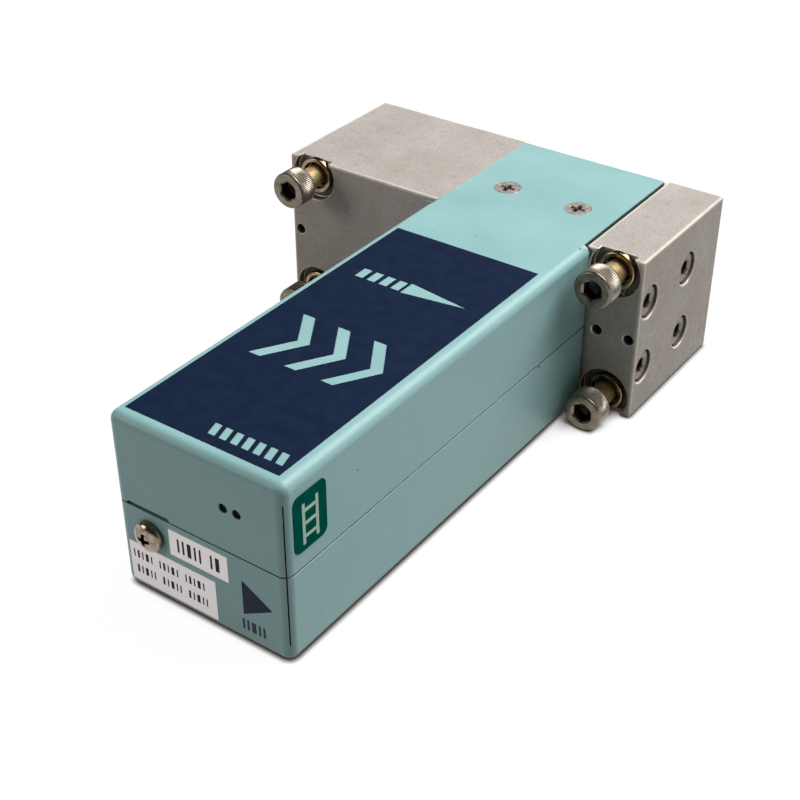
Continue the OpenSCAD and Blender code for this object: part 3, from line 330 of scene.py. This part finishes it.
def blastedSteel(nodeName):
    # Stainless block, machined and pickled: matt and warm, mottled by a fine grit with soft clouds,
    # and rubbed cream along its edges. Shade is painted darker into its holes, pockets and corners
    material, tree, shader, place = startMaterial("blastedSteel", blockSteel["shader"])
    cloud, grit, stain = (patches(tree, place, *blockSteel[name]) for name in ("cloud", "grit", "stain"))
    least, most = blockSteel["edgeShare"]
    uneven = addNode(tree, "ShaderNodeMapRange", {"To Min": least, "To Max": most}, {"Value": cloud})
    edges = nearEdges(tree, place, nodeName, *blockSteel["edge"])
    rubbed = addNode(tree, "ShaderNodeMath", {"operation": "MULTIPLY"},
                     {0: edges, 1: uneven.outputs[0]})
    tone = layered(tree, blockSteel["tones"][0], (cloud, 1, blockSteel["tones"][1]),
                   (grit, *blockSteel["gritTone"]), (stain, *blockSteel["stainTone"]),
                   (rubbed.outputs[0], *blockSteel["edgeTone"]))
    # Painted shade in holes, pockets and corners
    tone = inCrevices(tree, tone, *blockSteel["crevice"])
    finishShader(tree, shader, tone, grit, blockSteel["roughness"], grit, blockSteel["relief"])
    return material


boltFinish = {
    "cloud": (1.6, 3.0, 0.3, 0.7),
    "tones": ("#6B6256", "#8B8172"), "shankTones": ("#A88A58", "#CFB686"),
    "ridgeTone": (0.5, "#C9C2B4"), "socketShadeTone": (0.92, "#15110E"),
    "metallic": (0.8, 0.3),        # on the head and on the shank
    "roughness": (0.26, 0.38), "shankRougher": 0.15,
    "crevice": (1.6, 0.7),
}


def boltSteel():
    # Stainless cap screws: olive-grey and satin, dull between the bright knurl ridges, with a
    # straw-coloured shank, and shade painted dark into the socket and the crevices
    material, tree, shader, place = startMaterial("boltSteel", {})
    cloud = patches(tree, place, *boltFinish["cloud"])
    ridge, recess, shank = (addNode(tree, "ShaderNodeAttribute", {"attribute_name": name}).outputs["Fac"]
                            for name in ("ridge", "recess", "shank"))
    straw = layered(tree, boltFinish["shankTones"][0], (cloud, 1, boltFinish["shankTones"][1]))
    tone = layered(tree, boltFinish["tones"][0], (cloud, 1, boltFinish["tones"][1]), (shank, 1, straw),
                   (ridge, *boltFinish["ridgeTone"]), (recess, *boltFinish["socketShadeTone"]))
    tone = inCrevices(tree, tone, *boltFinish["crevice"])
    onHead, onShank = boltFinish["metallic"]
    metallic = addNode(tree, "ShaderNodeMapRange", {"To Min": onHead, "To Max": onShank},
                       {"Value": shank})
    tree.links.new(metallic.outputs[0], shader.inputs["Metallic"])
    low, high = boltFinish["roughness"]
    rough = addNode(tree, "ShaderNodeMapRange", {"To Min": low, "To Max": high}, {"Value": cloud})
    rougher = addNode(tree, "ShaderNodeMath", {"operation": "MULTIPLY_ADD",
                                               1: boltFinish["shankRougher"]},
                      {0: shank, 2: rough.outputs[0]})
    tree.links.new(rougher.outputs[0], shader.inputs["Roughness"])
    tree.links.new(tone, shader.inputs["Base Color"])
    return material


finishes = {
    # The same paint where it is thinnest, on the sheet's edges: paler, and rubbed in short stretches
    "wornPaint": {
        "shader": {"IOR": 1.5, "Specular IOR Level": 0.6}, "patch": (3.5, 3.0, 0.52, 0.66),
        "tones": ("#A6D0CD", "#C9D6D3"), "roughness": (0.3, 0.42),
    },
    # The blocks' broken edges: cut after blasting, so bright and cream against the matt faces
    "brokenEdge": {
        "shader": {"Metallic": 0.15}, "patch": (1.2, 3.0, 0.3, 0.7),
        "tones": ("#DDD3C2", "#FBF3E4"), "roughness": (0.28, 0.4),
    },
    # Polished spring-steel ring with a straw-coloured temper tint: bright glints on golden brown
    "heatTintedRing": {
        "shader": {"Metallic": 1.0}, "patch": (2.2, 2.0, 0.3, 0.7),
        "tones": ("#6E5D43", "#A79674"), "roughness": (0.1, 0.2),
    },
    # Nickel-plated screw: mirror bright, dulled in patches, with shade painted dark into the recess and
    # crevices
    "platedScrew": {
        "shader": {"Metallic": 1.0}, "patch": (0.9, 3.0, 0.3, 0.7),
        "tones": ("#7A6C5D", "#A79A89"), "roughness": (0.1, 0.18),
        "recess": (0.97, "#120D0A"), "crevice": (0.8, 0.8),
    },
    # Tin plating: pale and satin, with shade painted into its recesses and crevices
    "tinPlate": {
        "shader": {"Metallic": 0.8}, "patch": (0.9, 3.0, 0.3, 0.7),
        "tones": ("#B4B1AB", "#CDCAC4"), "roughness": (0.28, 0.36),
        "recess": (0.97, "#120D0A"), "crevice": (0.8, 0.8),
    },
    # Plating worn dull by the screwdriver: chalky, with shade painted dark into the cross
    "wornPlating": {
        "shader": {"Metallic": 0.35}, "patch": (0.9, 3.0, 0.3, 0.7),
        "tones": ("#9A9088", "#D8D0C4"), "roughness": (0.3, 0.38),
        "recess": (0.97, "#120D0A"), "crevice": (0.8, 0.8),
    },
    # Printed polyester film: even colour, a faint mottle of the ink and a smooth satin face
    "navyFilm": {
        "shader": {"IOR": 1.5, "Specular IOR Level": 0.09}, "patch": (3.0, 3.0, 0.3, 0.7),
        "tones": ("#12213A", "#172742"), "roughness": (0.42, 0.5),
        "grain": (0.6, 2.0, 0.0, 1.0), "relief": 0.004,
    },
    "greenFilm": {
        "shader": {"IOR": 1.5, "Specular IOR Level": 0.0}, "patch": (3.0, 3.0, 0.3, 0.7),
        "tones": ("#005C4F", "#046658"), "roughness": (0.45, 0.53),
        "grain": (0.6, 2.0, 0.0, 1.0), "relief": 0.004,
    },
    # Screen-printed inks: matt, with the same faint mottle
    "blackInk": {
        "shader": {"IOR": 1.5, "Specular IOR Level": 0.1}, "patch": (3.0, 3.0, 0.3, 0.7),
        "tones": ("#151414", "#201F1F"), "roughness": (0.5, 0.58),
        "grain": (0.6, 2.0, 0.0, 1.0), "relief": 0.004,
    },
    "paleInk": {
        "shader": {"IOR": 1.5, "Specular IOR Level": 0.1}, "patch": (3.0, 3.0, 0.3, 0.7),
        "tones": ("#B9DCCB", "#CDE8DA"), "roughness": (0.4, 0.48),
        "grain": (0.6, 2.0, 0.0, 1.0), "relief": 0.004,
    },
    "navyInk": {
        "shader": {"IOR": 1.5, "Specular IOR Level": 0.15}, "patch": (3.0, 3.0, 0.3, 0.7),
        "tones": ("#16263F", "#1B2C47"), "roughness": (0.4, 0.48),
        "grain": (0.6, 2.0, 0.0, 1.0), "relief": 0.004,
    },
    # Coated label stock: bright, faintly warm white with a gloss that lifts it against the paint,
    # and a slight painted glow that brightens it
    "labelPaper": {
        "shader": {"IOR": 1.5, "Specular IOR Level": 0.8, "Coat Weight": 0.6, "Coat Roughness": 0.3,
                   "Emission Color": linearColour("#E6DFE2"), "Emission Strength": 0.3},
        "patch": (0.7, 4.0, 0.3, 0.7), "tones": ("#EFE9E8", "#FAF6F5"), "roughness": (0.36, 0.5),
        "relief": 0.006,
    },
}


def patchedFinish(name, finish):
    # Two close tones in soft patches. A finish may have shade painted into its recesses and crevices,
    # and its relief follows its own grain or else the patches
    material, tree, shader, place = startMaterial(name, finish["shader"])
    patch = patches(tree, place, *finish["patch"])
    tone = layered(tree, finish["tones"][0], (patch, 1, finish["tones"][1]))
    if "recess" in finish:
        recess = addNode(tree, "ShaderNodeAttribute", {"attribute_name": "recess"})
        tone = layered(tree, tone, (recess.outputs["Fac"], *finish["recess"]))
    if "crevice" in finish:
        tone = inCrevices(tree, tone, *finish["crevice"])
    height = patches(tree, place, *finish["grain"]) if "grain" in finish else patch
    finishShader(tree, shader, tone, patch, finish["roughness"], height, finish.get("relief", 0))
    return material


innerFinishes = {
    # slot: low and high colour, grain in millimetres, metallic, roughness, relief in millimetres
    "seat_plastic": ("#CFCABB", "#DDD9CC", 1.0, 0.0, (0.46, 0.56), 0.004),
    "bright_steel": ("#AAA59E", "#C4C0B9", 1.2, 0.9, (0.3, 0.4), 0.004),
    "stack_ceramic": ("#343331", "#45433F", 0.8, 0.0, (0.51, 0.61), 0.006),
    "gasket_metal": ("#86724A", "#9C875A", 0.8, 0.9, (0.31, 0.41), 0.004),
    "board_green": ("#1B4F34", "#26633F", 1.5, 0.0, (0.36, 0.46), 0.006),
    "black_plastic": ("#222325", "#303234", 0.5, 0.0, (0.46, 0.56), 0.01),
    "lamp_lens": ("#07090A", "#101416", 0.8, 0.9, (0.26, 0.36), 0.002),
    "spacer_brass": ("#A8934F", "#C4B16E", 1.0, 0.95, (0.26, 0.36), 0.004),
    "pin_brass": ("#C09C48", "#D6B768", 0.8, 1.0, (0.18, 0.28), 0.002),
    "lead_red": ("#A03226", "#B8443A", 0.7, 0.0, (0.46, 0.56), 0.01),
}


def innerFinish(slot):
    # The plain finish of a hidden piece
    low, high, grain, metallic, roughness, relief = innerFinishes[slot]
    return patchedFinish(slot, {"shader": {"Metallic": metallic}, "patch": (grain, 3.0, 0.3, 0.7),
                                "tones": (low, high), "roughness": roughness, "relief": relief})


finished = {name: patchedFinish(name, finish) for name, finish in finishes.items()}
materials = {slot: innerFinish(slot) for slot in innerFinishes}
materials.update({
    "cover_paint": paintedSheet(), "block_steel": blastedSteel("inlet_body"),
    "screw_steel": boltSteel(), "ring_steel": finished["heatTintedRing"],
    "bright_screw": finished["platedScrew"], "navy_film": finished["navyFilm"],
    "green_film": finished["greenFilm"], "white_paper": finished["labelPaper"],
})
wornEdges = {"cover_paint": finished["wornPaint"], "block_steel": finished["brokenEdge"],
             "ring_steel": finished["heatTintedRing"]}
ownMaterials = {"side_connector": finished["tinPlate"], "connector_jacks": finished["tinPlate"],
                "outlet_block": blastedSteel("outlet_block")}

slotOf = {}
for nodeName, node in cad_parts.items():
    for materialSlot in node.material_slots:
        slotOf[nodeName] = materialSlot.name
        materialSlot.material = materials[materialSlot.name]
for nodeName, material in ownMaterials.items():
    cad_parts[nodeName].material_slots[0].material = material
print("materials assigned")

softEdges = {
    # node: width of the edge in millimetres, steps across it
    "upper_cover": (0.08, 2),
    "lower_cover": (0.08, 2),
    "inlet_body": (0.2, 2),
    "outlet_block": (0.26, 2),
    "screw_rings": (0.28, 3),
}
softening = {
    "merge": 0.001,      # millimetres between corners that are one
    "flat": 0.5,         # degrees between faces that are one
    "sharp": 35,         # degrees above which an edge is rounded
    "crease": 32,        # degrees above which an edge stays a crease in the shading
    "sealing": 0.05,     # millimetres from the sealing face within which nothing is rounded
}


def softenedCopy(nodeName, width, steps):
    # The node's own shape with its corners merged and each sharp edge rounded
    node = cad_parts[nodeName]
    work = bmesh.new()
    work.from_mesh(node.data)
    bmesh.ops.remove_doubles(work, verts=work.verts, dist=softening["merge"] * mm)
    bmesh.ops.dissolve_limit(work, angle_limit=math.radians(softening["flat"]),
                             verts=work.verts, edges=work.edges)
    # The sealing face keeps its crisp edges, because the seal seats lie so close to its sides
    weight = work.edges.layers.float.new("bevel_weight_edge")
    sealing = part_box("inlet_body")[1][1] - softening["sealing"] * mm
    for edge in work.edges:
        sharp = edge.calc_face_angle(0.0) > math.radians(softening["sharp"])
        edge[weight] = float(sharp and min(vertex.co.y for vertex in edge.verts) < sealing)
    mesh = bpy.data.meshes.new(nodeName + "Soft")
    work.to_mesh(mesh)
    work.free()
    mesh.shade_smooth()
    mesh.set_sharp_from_angle(angle=math.radians(softening["crease"]))
    slot = slotOf[nodeName]
    mesh.materials.clear()
    mesh.materials.append(node.material_slots[0].material)
    mesh.materials.append(wornEdges[slot])
    piece = bpy.data.objects.new(nodeName + "Soft", mesh)
    bpy.context.scene.collection.objects.link(piece)
    bevel = piece.modifiers.new("edges", "BEVEL")
    bevel.width = width * mm
    bevel.segments = steps
    bevel.limit_method = "WEIGHT"
    bevel.material = 1
    bevel.use_clamp_overlap = False
    even = piece.modifiers.new("evenShading", "WEIGHTED_NORMAL")
    even.keep_sharp = True
    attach(piece, "root")
    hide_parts(nodeName)


for nodeName, (width, steps) in softEdges.items():
    softenedCopy(nodeName, width, steps)
print("edges softened")

# Where a piece's own X, Y and Z axes point
facing = {
    "up": np.array([[1, 0, 0], [0, 1, 0], [0, 0, 1]]),
    "down": np.array([[1, 0, 0], [0, -1, 0], [0, 0, -1]]),
    "front": np.array([[1, 0, 0], [0, 0, 1], [0, -1, 0]]),
    "right": np.array([[0, 1, 0], [0, 0, 1], [1, 0, 0]]),
}
turned = {
    "merge": 1e-5,    # millimetres between points that are one
    "crease": 40,     # degrees above which an edge stays a crease in the shading
}


def boxOf(nodeName):
    # The node's lowest and highest corners in millimetres
    low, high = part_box(nodeName)
    return np.array(low) / mm, np.array(high) / mm


def makePiece(name, grids, slot, nodeNames, shades=None):
    # Each grid is an array of closed rings of points, from one pole or rim to the other
    points, faces, start = [], [], 0
    for grid in grids:
        rings, around = grid.shape[:2]
        number = start + np.arange(rings * around).reshape(rings, around)
        after = np.roll(number, -1, axis=1)
        faces.append(np.stack([number[:-1], after[:-1], after[1:], number[1:]], -1).reshape(-1, 4))
        points.append(grid.reshape(-1, 3))
        start += rings * around
    mesh = bpy.data.meshes.new(name)
    mesh.from_pydata(np.concatenate(points) * mm, [], np.concatenate(faces))
    for label, values in (shades or {}).items():
        layer = mesh.attributes.new(label, "FLOAT", "POINT")
        layer.data.foreach_set("value", np.concatenate([v.ravel() for v in values]).astype(np.float32))
    work = bmesh.new()
    work.from_mesh(mesh)
    bmesh.ops.remove_doubles(work, verts=work.verts, dist=turned["merge"] * mm)
    work.to_mesh(mesh)
    work.free()
    mesh.shade_smooth()
    mesh.set_sharp_from_angle(angle=math.radians(turned["crease"]))
    mesh.materials.append(materials[slot])
    piece = bpy.data.objects.new(name, mesh)
    bpy.context.scene.collection.objects.link(piece)
    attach(piece, "root")
    if nodeNames:
        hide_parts(*nodeNames)
    return piece


def ringPoints(radius, height, angle):
    # The points at each radius and height, turned to each angle round the Z axis
    return np.stack([radius * np.cos(angle), radius * np.sin(angle), height], -1)


def arc(centre, size, start, end, count):
    # Points of an arc about centre, with the angles in degrees
    turn = np.radians(np.linspace(start, end, count))
    return [(centre[0] + size * math.cos(a), centre[1] + size * math.sin(a)) for a in turn]


mountingScrew = {
    "thread": 5.0, "length": 40.0, "head": 8.5, "headHigh": 5.0, "hexagon": 4.0, "socket": 2.7,
    "edge": 0.45, "teeth": 60, "knurl": 0.16, "pitch": 0.8, "threaded": 22.0, "around": 240,
}
outletScrew = {
    "thread": 4.0, "length": 16.0, "head": 7.0, "headHigh": 4.0, "hexagon": 3.0, "socket": 2.2,
    "edge": 0.4, "teeth": 52, "knurl": 0.14, "pitch": 0.7, "threaded": 11.0, "around": 208,
}
headForm = {
    # millimetres: in from the head's side, and up from its foot
    "foot": ((0.3, 0.0), (0.06, 0.12), (0.0, 0.34)),
    "knurlFoot": 0.42,
    # down from the start of the top edge
    "knurlTop": 0.22, "knurlEnd": 0.12,
    "edgeSteps": 6,
    # out from the socket's flats, down from the top, and 1 where the ring is a hexagon
    "mouth": ((0.62, 0.0, 0), (0.5, 0.0, 0), (0.14, 0.24, 1), (0.0, 0.36, 1)),
    "socketEdge": (0.1, 0.05), "drillPoint": 0.5,
    # depth below the top where the shade painted into the socket starts, and over which it deepens
    "socketShade": (0.3, 0.8), "socketShadeEdge": 0.02,
}


def capHead(screw):
    # A turned profile whose side carries a triangle wave round it, the knurl, and whose socket's
    # radius is half the width across flats over the cosine of the angle from the nearest flat
    angle = np.linspace(0, 2 * np.pi, screw["around"], endpoint=False)[None, :]
    outer = screw["head"] / 2
    top, edge = screw["headHigh"], screw["edge"]
    side, flats, floor = top - edge, screw["hexagon"] / 2, top - screw["socket"]
    narrower, deeper = headForm["socketEdge"]
    # Each ring is its radius, its height, 1 where it is knurled and 1 where it is a hexagon
    rings = [(0.5 * screw["thread"], 0.0, 0, 0)]
    rings += [(outer - inward, up, 0, 0) for inward, up in headForm["foot"]]
    rings += [(outer, headForm["knurlFoot"], 1, 0), (outer, 0.5 * top, 1, 0),
              (outer, side - headForm["knurlTop"], 1, 0), (outer, side - headForm["knurlEnd"], 0, 0)]
    rings += [(r, z, 0, 0) for r, z in arc((outer - edge, side), edge, 0, 90, headForm["edgeSteps"])]
    rings += [(flats + out, top - down, 0, hexed) for out, down, hexed in headForm["mouth"]]
    rings += [(flats, floor, 0, 1), (flats - narrower, floor - deeper, 0, 1),
              (0.0, floor - headForm["drillPoint"], 0, 0)]
    radius, height, knurled, hexed = np.array(rings).T[:, :, None]
    wave = np.abs((angle * screw["teeth"] / (2 * np.pi)) % 1 * 2 - 1)
    flat = np.cos((angle + np.pi / 6) % (np.pi / 3) - np.pi / 6)
    radius = (radius - knurled * screw["knurl"] * wave) / (1 + hexed * (flat - 1))
    ridge = knurled * (1 - wave) + 0 * radius
    # The share of shade painted dark into the socket
    start, fade = headForm["socketShade"]
    deep = np.clip((top - start - height) / fade, 0, 1)
    deep = deep * (radius < flats / np.cos(np.pi / 6) + headForm["socketShadeEdge"]) * (height > 0)
    return ringPoints(radius, height + 0 * radius, angle), ridge, deep + 0 * radius


threadForm = {
    "around": 36, "ringsPerPitch": 7,
    "plain": 0.4,                       # millimetres of plain shank just under the head
    "depth": 0.6,                       # of a pitch
    "flank": 1.5, "crest": 0.25,        # steepness of the flanks, and the flat between them
    "point": 0.8, "pointDepth": 0.75,   # of a pitch
}


def screwShank(screw):
    # A thread as a height field: the depth follows a trapezoid wave of the height over the pitch
    # less the turned share, and fades out towards the plain shank and the pointed end
    angle = np.linspace(0, 2 * np.pi, threadForm["around"], endpoint=False)[None, :]
    outer, pitch, low = screw["thread"] / 2, screw["pitch"], -screw["length"]
    end = low + screw["threaded"]
    rows = int(screw["threaded"] / pitch * threadForm["ringsPerPitch"])
    height = np.concatenate([np.linspace(low, end, rows), [-threadForm["plain"], 0.0]])[:, None]
    wave = np.abs((height / pitch - angle / (2 * np.pi)) % 1 * 2 - 1)
    depth = threadForm["depth"] * pitch * np.clip(threadForm["flank"] * wave - threadForm["crest"], 0, 1)
    fade = np.clip((end - height) / pitch, 0, 1)
    point = np.clip((height - low) / (threadForm["point"] * pitch), 0, 1)
    radius = np.minimum(outer - depth * fade, outer - threadForm["pointDepth"] * pitch * (1 - point))
    tip = np.zeros((1, threadForm["around"]))
    return np.concatenate([ringPoints(tip, tip + low, angle),
                           ringPoints(radius, height + 0 * radius, angle)])


def capScrews(name, nodeName, screw, way, places):
    head, ridge, deep = capHead(screw)
    shank = screwShank(screw)
    plain = np.zeros(shank.shape[:2])
    grids = [form @ facing[way] + place for place in places for form in (head, shank)]
    # The recess share carries the shade painted into each socket
    shades = {"ridge": [ridge, plain] * len(places), "recess": [deep, plain] * len(places),
              "shank": [0 * deep, plain + 1] * len(places)}
    makePiece(name, grids, "screw_steel", [nodeName], shades)


def cornerPlaces(low, high, inset, axes, level):
    # The four places inset from the sides of a box along two axes, at a level on the third
    third = 3 - sum(axes)
    places = []
    for first in (low[axes[0]] + inset, high[axes[0]] - inset):
        for second in (low[axes[1]] + inset, high[axes[1]] - inset):
            place = np.zeros(3)
            place[axes[0]], place[axes[1]], place[third] = first, second, level
            places.append(place)
    return places


low, high = boxOf("mounting_screws")
capScrews("mountingScrews", "mounting_screws", mountingScrew, "front",
          cornerPlaces(low, high, mountingScrew["head"] / 2, (0, 2), low[1] + mountingScrew["headHigh"]))
low, high = boxOf("outlet_screws")
capScrews("outletScrews", "outlet_screws", outletScrew, "right",
          cornerPlaces(low, high, outletScrew["head"] / 2, (1, 2), high[0] - outletScrew["headHigh"]))
print("cap screws turned")

flatScrew = {
    "thread": 3.0, "length": 8.0, "head": 6.0, "cone": 1.5, "rim": 0.18, "crown": 0.0,
    "cross": 1.85, "arm": 0.56, "deep": 1.1, "around": 192, "faceRings": 34,
}
panScrew = {
    "thread": 3.0, "length": 4.0, "head": 6.0, "cone": 0.0, "rim": 1.15, "crown": 1.1,
    "cross": 1.4, "arm": 0.4, "deep": 1.2, "around": 192, "faceRings": 40,
}
crossForm = {
    # millimetres
    "tip": 0.3,         # chamfer at the shank's end
    "edge": 0.05,       # broken edge of a flat head
    "land": 0.12,       # from a flat head's side to its face, and chamfer of a pan head's foot
    "wall": 0.14,       # width of the cross's side walls
    "run": 0.3,         # length of the slope at the end of each arm
    # shares
    "shallower": 0.4,   # of the depth, lost towards the end of an arm
    "dome": 0.75,       # power of a pan head's curve
}


def crossHeadScrew(screw):
    # One polar grid from the tip over the rim to the middle of the face. The recess is deepest in
    # the middle and falls off across each arm and along it
    angle = np.linspace(0, 2 * np.pi, screw["around"], endpoint=False)[None, :]
    outer, shank = screw["head"] / 2, screw["thread"] / 2
    tip, edge, land = crossForm["tip"], crossForm["edge"], crossForm["land"]
    foot = -screw["cone"] - screw["rim"] if screw["cone"] else 0.0
    profile = [(0.0, -screw["length"]), (shank - tip, -screw["length"]),
               (shank, -screw["length"] + tip), (shank, foot)]
    if screw["cone"]:
        profile += [(outer, -screw["rim"]), (outer, -edge), (outer - edge, 0.0)]
        face = np.linspace(outer - land, 0, screw["faceRings"])
        crown = 0 * face
    else:
        profile += [(outer - land, 0.0), (outer, land)]
        face = np.linspace(outer, 0, screw["faceRings"])
        crown = screw["rim"] + screw["crown"] * (1 - (face / outer) ** 2) ** crossForm["dome"]
    radius = np.concatenate([[p[0] for p in profile], face])[:, None] + 0 * angle
    height = np.concatenate([[p[1] for p in profile], crown])[:, None] + 0 * angle
    along = radius * np.maximum(np.abs(np.cos(angle)), np.abs(np.sin(angle)))
    across = radius * np.minimum(np.abs(np.cos(angle)), np.abs(np.sin(angle)))
    inside = (np.clip((screw["arm"] - across) / crossForm["wall"], 0, 1)
              * np.clip((screw["cross"] - along) / crossForm["run"], 0, 1))
    inside[:len(profile)] = 0
    height = height - screw["deep"] * inside * (1 - crossForm["shallower"] * along / screw["cross"])
    return ringPoints(radius, height, angle), inside


def crossHeadScrews(name, nodeName, screw, ways):
    form, inside = crossHeadScrew(screw)
    grids = [form @ facing[way] + place for way, place in ways]
    # The recess share also carries the shade painted into the cross
    return makePiece(name, grids, "bright_screw", [nodeName], {"recess": [inside] * len(grids)})


low, high = boxOf("cover_screws")
screwY = (low[1] + high[1]) / 2
screwXs = (low[0] + flatScrew["head"] / 2, high[0] - flatScrew["head"] / 2)
heads = crossHeadScrews("coverScrews", "cover_screws", flatScrew,
                        [("up", (x, screwY, high[2])) for x in screwXs]
                        + [("down", (x, screwY, low[2])) for x in screwXs])
heads.data.materials[0] = finished["wornPlating"]
low, high = boxOf("end_screw")
wallY = boxOf("lower_cover")[0][1]
crossHeadScrews("endScrew", "end_screw", panScrew,
                [("front", ((low[0] + high[0]) / 2, wallY, (low[2] + high[2]) / 2))])
print("cross-head screws turned")

printing = {
    "thick": 0.02,       # millimetres
    "round": 0.12,       # radius of a stroke's corners
    "around": 24,        # points round a stroke
    "nudge": 1e-3,       # radians that keep those points off the axes
    "group": 5,          # bars in a group, and gaps between two groups
    "space": 3,
}
# Each row: distances from the label's two ends and from its foot, bar height, bar widths and gap
barRows = {
    "smallLabelPrint": ("end_label_small", "blackInk", [
        (1.9, 1.6, 2.85, 3.1, (0.45, 0.45, 0.9, 0.45), 0.72)]),
    "largeLabelPrint": ("end_label_large", "blackInk", [
        (0.9, 1.0, 6.4, 1.8, (0.3, 0.5, 0.3, 0.7, 0.3), 0.6),
        (1.4, 1.4, 2.9, 1.8, (0.5, 0.3, 0.7, 0.3, 0.3), 0.6)]),
    "arrowPrint": ("end_arrow_mark", "navyInk", [
        (-0.5, -0.1, -2.4, 2.4, (0.5, 0.5, 1.0, 0.5), 0.55)]),
}
ladder = {
    "middle": 5.5,       # millimetres from the label's foot
    "high": 8.6, "wide": 3.6, "rung": 2.7, "stroke": 0.75,
    "overlap": 0.1,      # of the rungs and the rails
}


def strokeForm(centre, width, height):
    # A flat bar: each ring is a rectangle's outline with rounded corners, given by the corner's
    # centre plus the radius along the angle
    angle = np.linspace(0, 2 * np.pi, printing["around"], endpoint=False) + printing["nudge"]
    corner = min(printing["round"], width / 2, height / 2)
    x = np.sign(np.cos(angle)) * (width / 2 - corner) + corner * np.cos(angle)
    y = np.sign(np.sin(angle)) * (height / 2 - corner) + corner * np.sin(angle)
    outline = np.stack([x, y], -1)
    rings = [(0, 0), (1, 0), (1, printing["thick"]), (0, printing["thick"])]
    return np.array([np.concatenate([outline * share + centre, np.full((len(angle), 1), z)], -1)
                     for share, z in rings])


def printPiece(name, strokes, ink, way, face):
    # Strokes are given by centre, width and height in the face's own X and Y
    grids = [strokeForm(*stroke) @ facing[way] + face for stroke in strokes]
    piece = makePiece(name, grids, "navy_film", [])
    piece.data.materials[0] = finished[ink]


def barRow(start, end, middle, height, widths, gap):
    # Upright bars of the widths in turn, a gap apart, from start until the row reaches its end
    strokes, x, turn = [], start, 0
    while x + widths[turn % len(widths)] <= end:
        width = widths[turn % len(widths)]
        strokes.append(((x + width / 2, middle), width, height))
        turn += 1
        x += width + gap * (1 if turn % printing["group"] else printing["space"])
    return strokes


for pieceName, (labelName, ink, rows) in barRows.items():
    low, high = boxOf(labelName)
    bars = []
    for before, after, middle, height, widths, gap in rows:
        bars += barRow(low[0] + before, high[0] - after, low[2] + middle, height, widths, gap)
    # The bars under the arrow lie on the wall itself, and the others on their paper
    face = wallY if labelName == "end_arrow_mark" else low[1]
    printPiece(pieceName, bars, ink, "front", (0, face, 0))

low, high = boxOf("side_label")
middle, foot = (low[1] + high[1]) / 2, low[2] + ladder["middle"]
rungWide = ladder["wide"] - ladder["stroke"] + ladder["overlap"]
rails = [((middle + side * ladder["wide"] / 2, foot), ladder["stroke"], ladder["high"])
         for side in (-1, 1)]
rungs = [((middle, foot + step * ladder["rung"]), rungWide, ladder["stroke"]) for step in (-1, 0, 1)]
printPiece("sideLabelPrint", rails + rungs, "paleInk", "right", (high[0], 0, 0))
print("labels printed")
